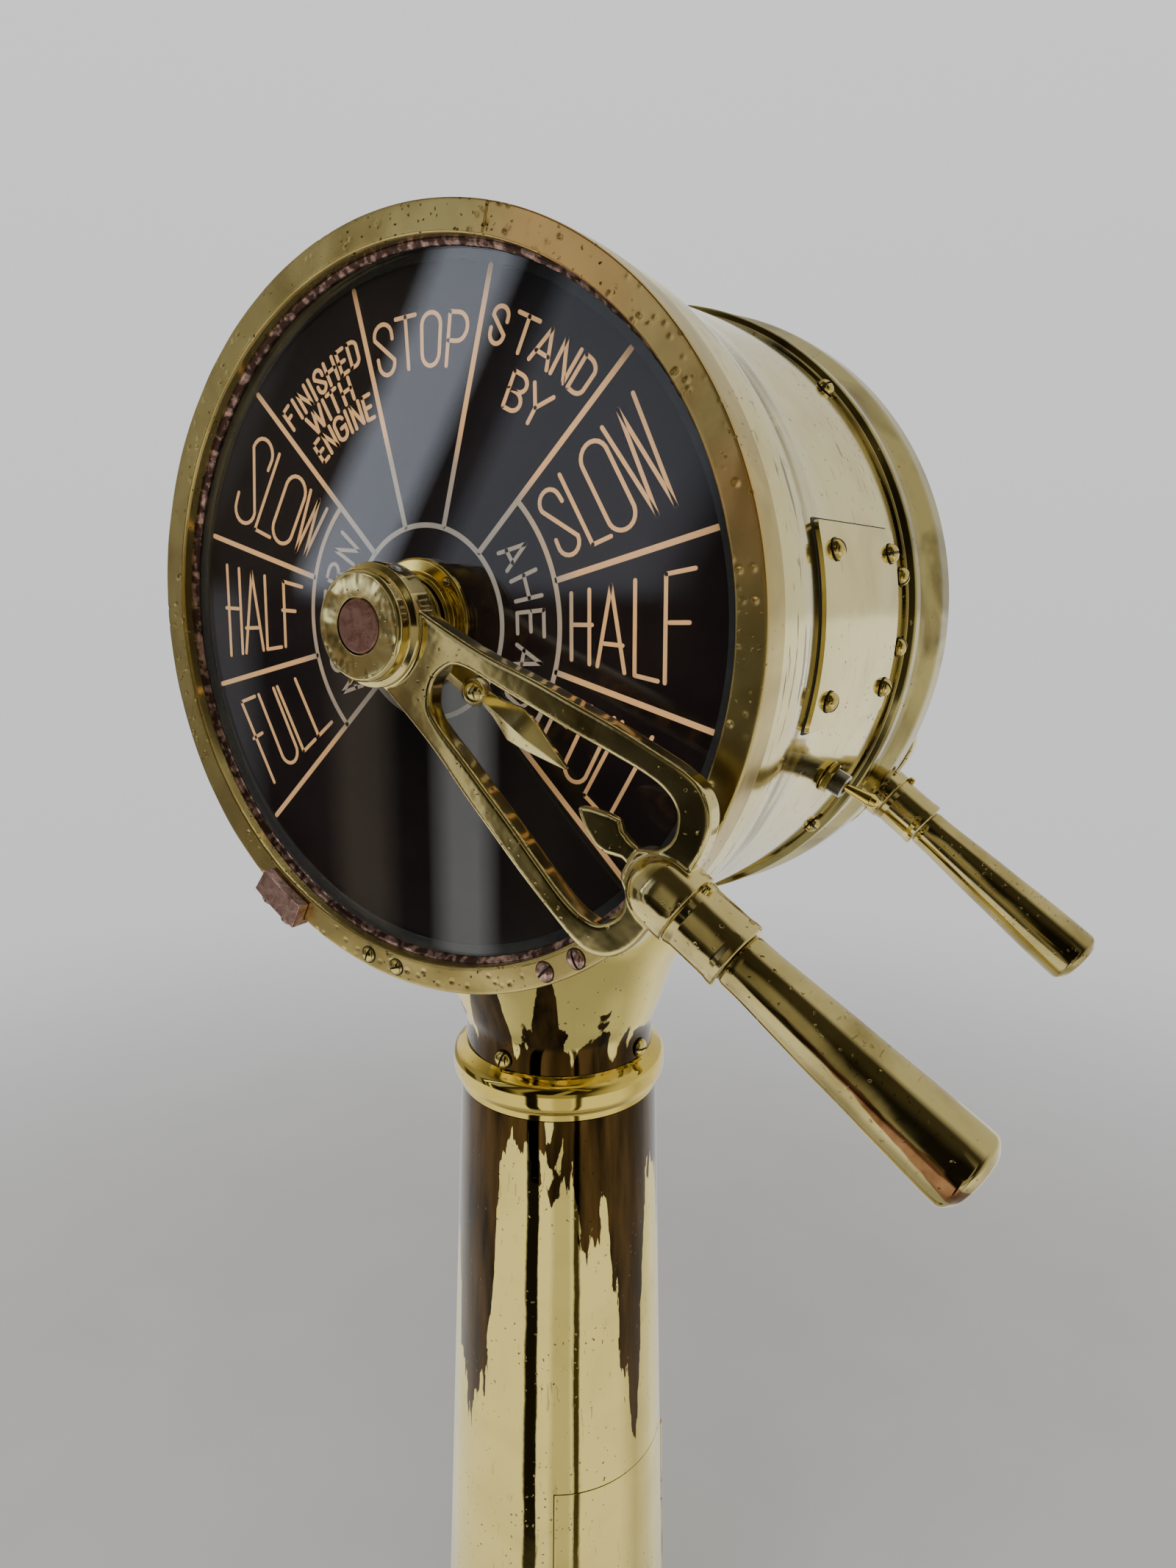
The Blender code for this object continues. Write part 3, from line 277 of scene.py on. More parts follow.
COLUMN_REFLECTION_REACH = [        # how far the painted dark reflection runs down from the collar, in tenths of a metre
    (-180, 0.6), (-75, 1.0), (-62, 1.9), (-42, 1.7), (-34, 0.5), (-20, 0.1), (2, 0.2), (14, 0.7), (26, 0.5),
    (36, 1.5), (46, 2.0), (58, 0.4), (80, 0.6), (180, 0.6),
]
NECK_REFLECTION_REACH = [          # how far the painted dark reflection climbs the neck from the collar, in tenths of a metre
    (-180, 0.1), (-70, 0.3), (-58, 0.1), (-46, 0.6), (-34, 0.9), (-26, 0.1), (-14, 0.3), (-6, 0.9), (0, 0.25),
    (10, 0.15), (24, 0.3), (32, 0.1), (60, 0.2), (180, 0.1),
]


# Painted dark reflection on the column below the collar, with ragged edges
def column_dark_reflection(tree):
    reach, height = bearing_ramp(tree, [(degrees, depth / 2) for degrees, depth in COLUMN_REFLECTION_REACH])
    below = minus(tree, COLUMN_TOP_Z * MM, height)
    return ragged(tree, minus(tree, times(tree, reach, 0.2), below), 0.16)


# Painted dark reflection on the neck above the collar, with ragged edges
def neck_dark_reflection(tree):
    reach, height = bearing_ramp(tree, NECK_REFLECTION_REACH)
    above = minus(tree, height, NECK_FLARE[0][0] * MM)
    return ragged(tree, minus(tree, times(tree, reach, 0.1), above), 0.055)


def bezel_side_stain(tree):
    """Brown dashes on the drum's side, close behind the bezel."""
    depth = split(tree, own_place(tree))[2]
    band = ramp(tree, math_node(tree, "DIVIDE", times(tree, depth, -1), 0.1), [
        (0.15, 0.0), (0.24, 0.09), (0.40, 0.125), (0.52, 0.10), (0.62, 0.0),
    ])
    lines = noise_field(tree, 300, 3.0, (0.10, 0.10, 1), offset=8.1)
    total = plus(tree, lines, band)
    return ramp(tree, total, [(0.70, 0.0), (0.74, 0.8)])


def grip_streak(tree):
    """A wandering brown streak along the handle's outward side, wider towards its tip."""
    across, along, out = split(tree, own_place(tree))
    turn = math_node(tree, "ARCTAN2", minus(tree, out, HANDLE_PLANE * MM), across)
    wander = times(tree, minus(tree, noise_field(tree, 45, 4.0, (1, 0.5, 1)), 0.5), 1.1)
    off_middle = math_node(tree, "ABSOLUTE", minus(tree, plus(tree, turn, wander), 1.55))
    far = math_node(tree, "DIVIDE", along, 0.4)
    width = ramp(tree, far, [(0.52, 0.0), (0.60, 0.10), (0.74, 0.26), (0.75, 0.22)])
    return ramp(tree, minus(tree, width, off_middle), [(0.0, 0.0), (0.05, 1.0)])


LIGHT_BRASS = (0.76, 0.62, 0.19)
DARK_BRASS = (0.36, 0.26, 0.06)


def copper_metal(name, light, dark, rough):
    """Mottled pink-brown copper with small dark specks."""
    material, tree, shader = new_material(name)
    cloud = noise_field(tree, 160, 6.0, distortion=0.8)
    colour = mix_colour(tree, ramp(tree, cloud, [(0.38, 0.0), (0.66, 1.0)]), light, dark)
    specks = ramp(tree, noise_field(tree, 1500, 3.0), [(0.60, 0.0), (0.68, 0.8)])
    colour = mix_colour(tree, specks, colour, (0.10, 0.05, 0.04))
    roughness = ramp(tree, cloud, [(0.3, rough - 0.08), (0.7, rough + 0.16)])
    layers = [(noise_field(tree, 260, 3.0), 0.14 * MM), (noise_field(tree, 1500, 3.0), 0.05 * MM)]
    coat(tree, shader, colour, roughness, layers, 0.9)
    return material


def steel_metal(name, colour, rough, stretch=(1, 1, 1)):
    material, tree, shader = new_material(name)
    cloud = noise_field(tree, 70, 5.0)
    shade = tuple(channel * 0.45 for channel in colour)
    mottled = mix_colour(tree, ramp(tree, cloud, [(0.42, 0.0), (0.75, 0.8)]), colour, shade)
    lines = ramp(tree, noise_field(tree, 1100, 2.0, stretch), [(0.3, rough), (0.75, rough + 0.18)])
    coat(tree, shader, mottled, lines, [(noise_field(tree, 1300, 2.0, stretch), 0.02 * MM)], 1.0)
    return material


def painted(name, colour, rough, grain_depth):
    """Paint, enamel or rubber: a slightly uneven dark coat."""
    material, tree, shader = new_material(name)
    cloud = noise_field(tree, 40, 4.0)
    lighter = tuple(min(1.0, channel * 1.8 + 0.01) for channel in colour)
    mottled = mix_colour(tree, ramp(tree, cloud, [(0.4, 0.0), (0.8, 0.6)]), colour, lighter)
    sheen = ramp(tree, noise_field(tree, 300, 3.0), [(0.3, rough), (0.8, rough + 0.15)])
    coat(tree, shader, mottled, sheen, [(noise_field(tree, 700, 3.0), grain_depth)])
    return material


def dial_enamel():
    """Near-black brown enamel, smooth, with faint cloudiness."""
    material, tree, shader = new_material("dial_enamel")
    cloud = noise_field(tree, 14, 4.0, distortion=0.5)
    colour = ramp(tree, cloud, [(0.35, (0.007, 0.004, 0.004)), (0.7, (0.014, 0.008, 0.007))])
    link(tree, 0.12, shader, "Specular IOR Level")
    roughness = ramp(tree, cloud, [(0.3, 0.35), (0.7, 0.45)])
    coat(tree, shader, colour, roughness, [(noise_field(tree, 60, 2.0), 0.002 * MM)])
    return material


def lettering_paint():
    """Peach paint that has faded to grey towards the dial's centre."""
    material, tree, shader = new_material("lettering_paint")
    where = own_place(tree)
    flat = add(tree, "VectorMath", {0: where, 1: (1, 1, 0)}, operation="MULTIPLY").outputs[0]
    radius = add(tree, "VectorMath", {0: flat}, operation="LENGTH").outputs["Value"]
    uneven = times(tree, minus(tree, noise_field(tree, 30, 3.0), 0.5), 0.035)
    place = math_node(tree, "DIVIDE", plus(tree, radius, uneven), 0.15)
    colour = ramp(tree, place, [
        (0.30, (0.36, 0.31, 0.25)), (0.46, (0.46, 0.35, 0.24)), (0.56, (0.98, 0.52, 0.20)),
        (0.95, (1.0, 0.56, 0.24)),
    ])
    worn = ramp(tree, noise_field(tree, 260, 5.0), [(0.60, 0.0), (0.85, 0.3)])
    colour = mix_colour(tree, worn, colour, (0.55, 0.36, 0.22))
    roughness = ramp(tree, noise_field(tree, 400, 2.0), [(0.3, 0.45), (0.7, 0.6)])
    coat(tree, shader, colour, roughness, [(noise_field(tree, 900, 2.0), 0.01 * MM)])
    return material


def glass(name, tone, rough):
    """Clear pane or bulb glass with faint smears."""
    material, tree, shader = new_material(name)
    smears = noise_field(tree, 45, 5.0, (1, 3, 1), 0.8)
    colour = mix_colour(tree, ramp(tree, smears, [(0.4, 0.0), (0.8, 0.5)]), tone, (0.88, 0.90, 0.90))
    coat(tree, shader, colour, ramp(tree, smears, [(0.45, rough), (0.75, rough + 0.02)]))
    link(tree, 1.0, shader, "Transmission Weight")
    link(tree, 1.5, shader, "IOR")
    return material


def putty_material():
    """Rough coppery glazing compound."""
    material, tree, shader = new_material("putty_copper")
    cloud = noise_field(tree, 240, 5.0)
    colour = ramp(tree, cloud, [(0.36, (0.50, 0.31, 0.25)), (0.54, (0.07, 0.036, 0.028))])
    roughness = ramp(tree, cloud, [(0.3, 0.14), (0.7, 0.4)])
    coat(tree, shader, colour, roughness, [(noise_field(tree, 420, 4.0), 0.14 * MM)], 0.9)
    return material


RING_GRAIN = (0.16, 0.16, 1)        # scratches round local Z
SHAFT_GRAIN = (1, 1, 0.12)          # scratches along local Z
COLUMN_TOP_Z = 742
HANDLE_PLANE = 16.2                 # how far the handle's axis stands in front of the head
NECK_FLARE = [                      # height above the floor and radius
    (766, 52.5), (779, 52.8), (789, 56.1), (802, 60.3), (815, 64.9), (826, 69.6), (838, 74.6), (850, 77.6),
    (875, 79),
]

BEZEL = brass("bezel_brass", (0.60, 0.47, 0.17), (0.25, 0.17, 0.045), RING_GRAIN,
              wear=0.6, rough=(0.20, 0.32), pits=0.6, waves=0.14, tint=(0.80, 0.46, 0.15))
RING = brass("rear_ring_brass", (0.42, 0.35, 0.13), (0.10, 0.07, 0.025), RING_GRAIN,
             wear=0.9, rough=(0.05, 0.12), pits=0.1, waves=0.06)
DRUM = brass("drum_brass", (0.88, 0.77, 0.38), (0.48, 0.37, 0.13), RING_GRAIN,
             wear=0.45, rough=(0.08, 0.16), pits=0.2, waves=0.06, dashes=0.9, tarnish_and_reflection=bezel_side_stain)
COVER = brass("cover_brass", (0.86, 0.74, 0.33), (0.46, 0.35, 0.12), RING_GRAIN,
              wear=0.45, rough=(0.08, 0.16), pits=0.15, waves=0.05, dashes=0.3)
# The column and the neck carry painted dark reflections near the collar
COLUMN = brass("column_brass", LIGHT_BRASS, DARK_BRASS, SHAFT_GRAIN,
               wear=0.25, rough=(0.02, 0.06), pits=0.3, waves=0.11, dashes=0.4, tarnish_and_reflection=column_dark_reflection)
NECK = brass("neck_brass", LIGHT_BRASS, DARK_BRASS, SHAFT_GRAIN,
             wear=0.2, rough=(0.02, 0.06), pits=0.2, waves=0.10, tarnish_and_reflection=neck_dark_reflection)
COLLAR = brass("collar_brass", (0.70, 0.53, 0.12), (0.24, 0.16, 0.03), RING_GRAIN,
               wear=0.3, rough=(0.03, 0.08), pits=0.1, waves=0.10)
LEVER = brass("lever_brass", (0.72, 0.60, 0.26), (0.25, 0.18, 0.06), (1, 0.3, 1),
              wear=0.7, rough=(0.08, 0.18), pits=0.45, waves=0.20)
GRIP = brass("grip_brass", (0.58, 0.48, 0.20), (0.22, 0.16, 0.05), SHAFT_GRAIN,
             wear=0.8, rough=(0.06, 0.16), pits=0.35, waves=0.06, dashes=0.5,
             tarnish_and_reflection=grip_streak, tarnish_and_reflection_colours=((0.34, 0.17, 0.07), (0.13, 0.06, 0.02)))
GOLD = brass("gold_brass", (0.84, 0.64, 0.17), DARK_BRASS, RING_GRAIN,
             wear=0.3, rough=(0.05, 0.14), pits=0.1, waves=0.05)
SCREW_BRASS = brass("screw_brass", (0.66, 0.52, 0.16), (0.20, 0.14, 0.035),
                    wear=0.8, rough=(0.06, 0.16), pits=0.2, waves=0.05)
CAST = brass("cast_brass_rough", (0.66, 0.54, 0.24), (0.27, 0.20, 0.07),
             wear=0.8, rough=(0.24, 0.42), pits=0.4, waves=0.10)
COPPER = copper_metal("clamp_copper", (0.60, 0.38, 0.31), (0.24, 0.13, 0.10), 0.20)
SHAFT_COPPER = copper_metal("shaft_copper", (0.38, 0.20, 0.15), (0.26, 0.12, 0.085), 0.42)
STEEL = steel_metal("bright_steel", (0.58, 0.57, 0.55), 0.22)
TURNED_STEEL = steel_metal("turned_steel", (0.52, 0.50, 0.46), 0.2, RING_GRAIN)
PAINT = painted("black_enamel_paint", (0.012, 0.012, 0.013), 0.32, 0.04 * MM)
# Grime with painted shade, for the feet and slots of screws
GRIME_AND_SHADE = painted("grime_and_painted_shade", (0.016, 0.011, 0.005), 0.5, 0.05 * MM)
# Black rubber for the seals; the same black also paints the shadow under the side cover
BLACK_RUBBER_AND_SHADOW = painted("black_rubber_and_painted_shadow", (0.012, 0.012, 0.012), 0.6, 0.05 * MM)
DIAL = dial_enamel()
LETTERING = lettering_paint()
PUTTY = putty_material()
PANE = glass("pane_glass", (0.97, 0.98, 0.98), 0.0)
BULB = glass("bulb_glass", (0.95, 0.93, 0.88), 0.02)


# Mesh helpers. Outlines and profiles are in millimetres, meshes in metres.

def as_mesh(shape, name):
    mesh = bpy.data.meshes.new(name)
    shape.to_mesh(mesh)
    shape.free()
    return mesh


def new_object(name, data):
    made = bpy.data.objects.new(name, data)
    bpy.context.scene.collection.objects.link(made)
    return made


def finish_mesh(shape, name, sharp=38):
    bmesh.ops.recalc_face_normals(shape, faces=shape.faces)
    mesh = as_mesh(shape, name)
    mesh.shade_smooth()
    mesh.set_sharp_from_angle(angle=math.radians(sharp))
    return mesh


def show(name, mesh, material, matrix, replaced=(), body="casing"):
    """Places a mesh or an unfinished shape as a piece that rides on a body and stands for CAD nodes."""
    if isinstance(mesh, bmesh.types.BMesh):
        mesh = finish_mesh(mesh, name)
    piece = new_object(name, mesh)
    if not mesh.materials:
        mesh.materials.append(material)
    piece.matrix_world = matrix
    weights = piece.modifiers.new("weights", "WEIGHTED_NORMAL")
    weights.keep_sharp = True
    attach(piece, body)
    if replaced:
        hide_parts(*replaced)
    return piece


def quadratic(start, corner, end, t):
    """A point on the curve that leaves start towards corner and arrives at end from it."""
    return start * (1 - t) ** 2 + corner * 2 * t * (1 - t) + end * t ** 2


def rounded(points, steps=4):
    """A closed outline with its corners rounded. A point is (x, y) or (x, y, radius)."""
    result = []
    count = len(points)
    for i, point in enumerate(points):
        corner = Vector(point[:2])
        radius = point[2] if len(point) > 2 else 0
        if not radius:
            result.append(tuple(corner))
            continue
        before = Vector(points[i - 1][:2]) - corner
        after = Vector(points[(i + 1) % count][:2]) - corner
        turn = math.pi - before.angle(after)
        reach = radius * math.tan(turn / 2)
        start = corner + before.normalized() * min(reach, before.length * 0.49)
        end = corner + after.normalized() * min(reach, after.length * 0.49)
        for step in range(steps + 1):
            result.append(tuple(quadratic(start, corner, end, step / steps)))
    return result


def flowing(points, per_span=6, closed=True):
    """A smooth curve through all the points (Catmull-Rom)."""
    count = len(points)
    result = []
    spans = count if closed else count - 1
    for i in range(spans):
        index = [i - 1, i, i + 1, i + 2]
        if closed:
            index = [k % count for k in index]
        else:
            index = [min(max(k, 0), count - 1) for k in index]
        a, b, c, d = (Vector(points[k]) for k in index)
        for step in range(per_span):
            t = step / per_span
            result.append(tuple(0.5 * (
                2 * b + (c - a) * t + (2 * a - 5 * b + 4 * c - d) * t ** 2 + (3 * b - a - 3 * c + d) * t ** 3
            )))
    if not closed:
        result.append(tuple(points[-1]))
    return result


def turned_shape(profile, segments, lump=None):
    """Turns a closed (radius, height) profile about Z. lump(point) moves each point, for a rough surface."""
    shape = bmesh.new()
    rings = []
    for radius, height in profile:
        if radius < 1e-6:
            rings.append([shape.verts.new((0, 0, height * MM))] * segments)
            continue
        ring = []
        for i in range(segments):
            turn = 2 * math.pi * i / segments
            spot = Vector((radius * math.cos(turn), radius * math.sin(turn), height))
            ring.append(shape.verts.new((lump(spot) if lump else spot) * MM))
        rings.append(ring)
    for k, ring in enumerate(rings):
        above = rings[k - 1]
        for i in range(segments):
            j = (i + 1) % segments
            corners = []
            for corner in (ring[i], ring[j], above[j], above[i]):
                if corner not in corners:
                    corners.append(corner)
            if len(corners) > 2:
                shape.faces.new(corners)
    return shape


def turned(name, profile, segments, sharp=38, lump=None):
    return finish_mesh(turned_shape(profile, segments, lump), name, sharp)


def bridge(shape, first, second):
    """Faces between two closed rings of vertices."""
    for i in range(len(first)):
        j = (i + 1) % len(first)
        shape.faces.new((first[i], first[j], second[j], second[i]))


def rod_shape(radius, low, high, segments=32):
    return turned_shape([(0, low), (radius, low), (radius, high), (0, high)], segments)


def tube_shape(outer, inner, start, end):
    return turned_shape([(outer, start), (outer, end), (inner, end), (inner, start)], 256)


def prism_shape(outline, low, high):
    shape = bmesh.new()
    bottom = [shape.verts.new((x * MM, y * MM, low * MM)) for x, y in outline]
    top = [shape.verts.new((x * MM, y * MM, high * MM)) for x, y in outline]
    shape.faces.new(list(reversed(bottom)))
    shape.faces.new(top)
    bridge(shape, bottom, top)
    return shape


def box_shape(low, high):
    outline = [(low[0], low[1]), (high[0], low[1]), (high[0], high[1]), (low[0], high[1])]
    return prism_shape(outline, low[2], high[2])


def soften(shape, width, segments=3, limit=30):
    """Rounds every edge sharper than a limit."""
    bmesh.ops.recalc_face_normals(shape, faces=shape.faces)
    edges = [edge for edge in shape.edges if edge.calc_face_angle(0) > math.radians(limit)]
    bmesh.ops.bevel(shape, geom=edges, offset=width * MM, segments=segments, profile=0.5, affect="EDGES",
                    clamp_overlap=True)
    return shape


def moved(shape, matrix):
    bmesh.ops.transform(shape, matrix=matrix, verts=shape.verts)
    return shape


def merged(shapes):
    """Several shapes in one mesh, each still a closed body of its own."""
    whole = bmesh.new()
    for shape in shapes:
        mesh = as_mesh(shape, "part")
        whole.from_mesh(mesh)
        bpy.data.meshes.remove(mesh)
    return whole


def evaluated(shape, set_modifiers):
    """The shape after modifiers. set_modifiers gets a scratch object and returns the helpers it made."""
    scratch = new_object("scratch", as_mesh(shape, "scratch"))
    helpers = set_modifiers(scratch) or []
    bpy.context.view_layer.update()
    result = bpy.data.meshes.new_from_object(scratch.evaluated_get(bpy.context.evaluated_depsgraph_get()))
    answer = bmesh.new()
    answer.from_mesh(result)
    for item in [scratch, *helpers]:
        old = item.data
        bpy.data.objects.remove(item)
        bpy.data.meshes.remove(old)
    bpy.data.meshes.remove(result)
    return answer


def boolean(shape, tools, operation="DIFFERENCE"):
    """Cuts tools from a shape, or unites them with it."""
    def set_modifiers(scratch):
        helpers = []
        for tool in tools:
            bmesh.ops.recalc_face_normals(tool, faces=tool.faces)
            helper = new_object("tool", as_mesh(tool, "tool"))
            helpers.append(helper)
            modifier = scratch.modifiers.new("boolean", "BOOLEAN")
            modifier.operation = operation
            modifier.solver = "EXACT"
            modifier.object = helper
        return helpers
    bmesh.ops.recalc_face_normals(shape, faces=shape.faces)
    return evaluated(shape, set_modifiers)


def melted(shape, voxel, smoothing):
    """One cast body: remeshed, then smoothed, so that its joints get fillets."""
    def set_modifiers(scratch):
        remesh = scratch.modifiers.new("remesh", "REMESH")
        remesh.mode = "VOXEL"
        remesh.voxel_size = voxel * MM
        smooth = scratch.modifiers.new("smooth", "SMOOTH")
        smooth.factor = 0.5
        smooth.iterations = smoothing
    return evaluated(shape, set_modifiers)


def bend(cx, cy, rx, ry, start, end, steps=10):
    """Points on an oval arc, angles in degrees anticlockwise from +X."""
    turns = [math.radians(start + (end - start) * i / steps) for i in range(steps + 1)]
    return [(cx + rx * math.cos(t), cy + ry * math.sin(t)) for t in turns]


def arc(radius, start, end, steps):
    """Points on a round arc about the origin."""
    return bend(0, 0, radius, radius, start, end, steps)


def mirrored(half):
    return half + [(-x, y) for x, y in reversed(half)]


def axes_at(spot, x, y, z):
    """A frame at a spot from its three axes."""
    return Matrix.Translation(spot) @ Matrix((x, y, z)).transposed().to_4x4()


def seat_on_rim(angle, along, radius):
    """A frame on the head's side: Z away from the shaft, Y to the back. along is the depth from the face."""
    away = Vector((math.sin(angle), 0, math.cos(angle)))
    back = Vector((0, 1, 0))
    spot = away * radius * MM + Vector((0, FRONT_Y + along * MM, SHAFT_Z))
    return axes_at(spot, back.cross(away), back, away)


def outward(azimuth):
    """The horizontal direction at an azimuth from the front towards +X."""
    return Vector((math.sin(azimuth), -math.cos(azimuth), 0))


def seat_on_column(azimuth, radius, height):
    """A frame on the column: Z outwards, Y up. radius and height in metres."""
    side = outward(azimuth)
    up = Vector((0, 0, 1))
    return axes_at(side * radius + up * height, up.cross(side), up, side)


def seat_on_face(face, angle, radius, height):
    """A frame on a dial face, Z out of the face. angle is clockwise from the top."""
    spot = Vector((radius * math.sin(angle), radius * math.cos(angle), height)) * MM
    return face @ Matrix.Translation(spot) @ Matrix.Rotation(-angle, 4, "Z")


# Screws

def slotted_screw(name, radius, height, flat=0.0, slot_width=1.1, slot_depth=1.3):
    """A round-headed screw, its slot along local X. flat is the height of the straight rim under its dome."""
    dome = height - flat
    curve = [(radius * math.cos(t), flat + dome * math.sin(t)) for t in (QUARTER * i / 7 for i in range(7))]
    skirt = radius + 0.5
    foot = [(0, -2), (radius * 0.5, -2), (radius * 0.5, 0), (skirt, 0), (skirt, 0.2), (radius, 0.3)]
    head = turned_shape(foot + curve + [(0, height)], 40)
    half, floor = slot_width / 2, height - slot_depth
    slot = box_shape((-radius * 2, -half, floor), (radius * 2, half, height * 3))
    mesh = finish_mesh(boolean(head, [slot]), name, 30)
    # Faces round the foot and on the slot's floor take the second material: grime with painted shade
    for face in mesh.polygons:
        spot = face.center / MM
        if spot.z < 0.28 or (abs(spot.y) < half * 0.9 and spot.z < floor + slot_depth * 0.3):
            face.material_index = 1
    return mesh


def screw(name, mesh, material, matrix, turn, replaced=(), body="casing"):
    """One screw on a seat, its slot turned by so many degrees. Dark grime with painted shade sits round its
    foot and in its slot.
    """
    if not mesh.materials:
        mesh.materials.append(material)
        mesh.materials.append(GRIME_AND_SHADE)
    show(name, mesh, material, matrix @ Matrix.Rotation(math.radians(turn), 4, "Z"), replaced, body)


def screw_row(name, head, material, seats, first, step):
    """Screws on a row of seats, the slot of each turned a step further than the one before."""
    for index, seat in enumerate(seats):
        screw(f"{name}_{index + 1}", head, material, seat, first + step * index)


# Head

BEZEL_SEAM = math.radians(74)       # where the ring's ends meet, anticlockwise from +X


def make_bezel():
    """The flat front ring, dented by years of knocks, with a seam near its top."""
    across = [(154.3 + 0.6 * i, 0) for i in range(16)]
    profile = rounded([
        (BEZEL_R, 0, 1.6), (BEZEL_R, -4), (BEZEL_R, -10), (BEZEL_R, -16, 0.5), (152.3, -16),
        (152.3, -1.6, 0.4),
        (152.7, 0, 1.3), *across,
    ])

    def knocked(spot):
        if spot.z < -2:
            return spot
        distances, centres = noise.voronoi(spot * 0.24)
        bowl = max(0.0, 1 - distances[0] / 0.40)
        some = 1.0 if noise.cell(centres[0] * 9.0) > 0.1 and noise.noise(spot * 0.04) > -0.22 else 0.0
        seam = abs(math.atan2(spot.y, spot.x) - BEZEL_SEAM) * BEZEL_R < 0.4
        depth = bowl * bowl * 0.75 * some + noise.noise(spot * 0.06) * 0.2 + (0.6 if seam else 0)
        return spot - Vector((0, 0, depth))
    show("front_bezel_ring", turned_shape(profile, 1440, knocked), BEZEL, FRONT, replaced=["front_bezel"])


def make_rear_ring():
    profile = rounded([
        (168.4, 0, 2.4), (169.8, -3.5, 3), (169.5, -17, 14), (164.6, -30, 14), (162.7, -38, 7),
        (163.4, -42.2, 1.4), (165.9, -43.6, 2.6), (165.9, -51.6, 2.6), (162.4, -54.2, 1), (162, -56.7),
        (150.5, -56.7), (150.5, -19.6), (140, -19.6), (140, -16), (152.3, -16), (152.3, -1.6, 0.4),
        (152.7, 0, 1.3),
    ], 6)
    show("rear_moulded_ring", turned_shape(profile, 256), RING, REAR, replaced=["rear_ring"])


DRUM_WALL = [
    (164.6, -16.3), (164.4, -37), (161, -61), (158.2, -88), (158.8, -116), (160.4, -150), (161, -178),
]


def interpolated(table, place):
    """The value at a place in a table of places and values, straight between its rows."""
    if place <= table[0][0]:
        return table[0][1]
    for (low, first), (high, second) in zip(table, table[1:]):
        if place <= high:
            return first + (second - first) * (place - low) / (high - low)
    return table[-1][1]


def drum_radius(depth):
    """The drum's outer radius at a depth behind the front face."""
    return interpolated([(-height, radius) for radius, height in DRUM_WALL], depth)


def make_drum():
    outer = flowing(DRUM_WALL, 6, closed=False)
    inner = [(150.5, -178), (150.5, -20), (140, -20), (140, -16.3)]
    shell = turned_shape(outer + inner, 256)
    mouth = moved(rod_shape(50, -250, -60, 64), Matrix.Translation((0, 0, SHAFT_Z)))
    shell = boolean(shell, [moved(mouth, FRONT.inverted())])
    show("drum_wall", shell, DRUM, FRONT, ["drum_shell"])
    show("drum_neck", make_neck_mesh(), NECK, UPRIGHT)


NECK_FILLET = 8.0
NECK_BORE_R = 49.2


def drum_underside(x, y):
    """Height of the drum's underside over a spot in the floor plan, in millimetres."""
    depth = min(max(y - FRONT_Y / MM, 0), 178)
    return SHAFT_Z / MM - math.sqrt(max(drum_radius(depth) ** 2 - x ** 2, 0))


def make_neck_mesh():
    """The flared neck, with a fillet round its joint with the drum's belly."""
    outside = flowing([(radius, height) for height, radius in NECK_FLARE], 6, closed=False)
    segments = 192
    tube = turned_shape([(NECK_BORE_R, 766)] + outside + [(NECK_BORE_R, 875)], segments)
    fillet = bmesh.new()
    rings = []
    for i in range(segments):
        turn = 2 * math.pi * i / segments
        side = Vector((math.cos(turn), math.sin(turn)))
        height = 845.0
        for _ in range(20):
            radius = interpolated(NECK_FLARE, height)
            height = drum_underside(side.x * radius, side.y * radius)
        low_radius = interpolated(NECK_FLARE, height - NECK_FILLET) - 0.25
        far_radius = interpolated(NECK_FLARE, height) + NECK_FILLET
        far_height = drum_underside(side.x * far_radius, side.y * far_radius) + 0.25
        start = Vector((low_radius, height - NECK_FILLET))
        corner = Vector((interpolated(NECK_FLARE, height), height))
        end = Vector((far_radius, far_height))
        section = [quadratic(start, corner, end, k / 8) for k in range(9)]
        section.append(corner + Vector((-2, 3)))
        rings.append([fillet.verts.new(Vector((side.x * r, side.y * r, z)) * MM) for r, z in section])
    for first, second in zip(rings, rings[1:] + rings[:1]):
        bridge(fillet, first, second)
    return finish_mesh(merged([tube, fillet]), "drum_neck", 50)


COVER_R = 163.5             # the cover's outer face, from the shaft
COVER_UNDERSIDE = 161.3


def cover_block(left, right, half_height):
    """A block through the drum's side with the outline of the cover. left and right are from its middle."""
    outline = rounded([(left, -half_height, 3.5), (right, -half_height, 3.5), (right, half_height, 3.5),
                       (left, half_height, 3.5)], 6)
    middle = seat_on_rim(math.radians(89.5), 111, 163)
    upright = Matrix.Rotation(QUARTER, 4, "Z")
    return moved(prism_shape(outline, -30, 30), FRONT.inverted() @ middle @ upright)


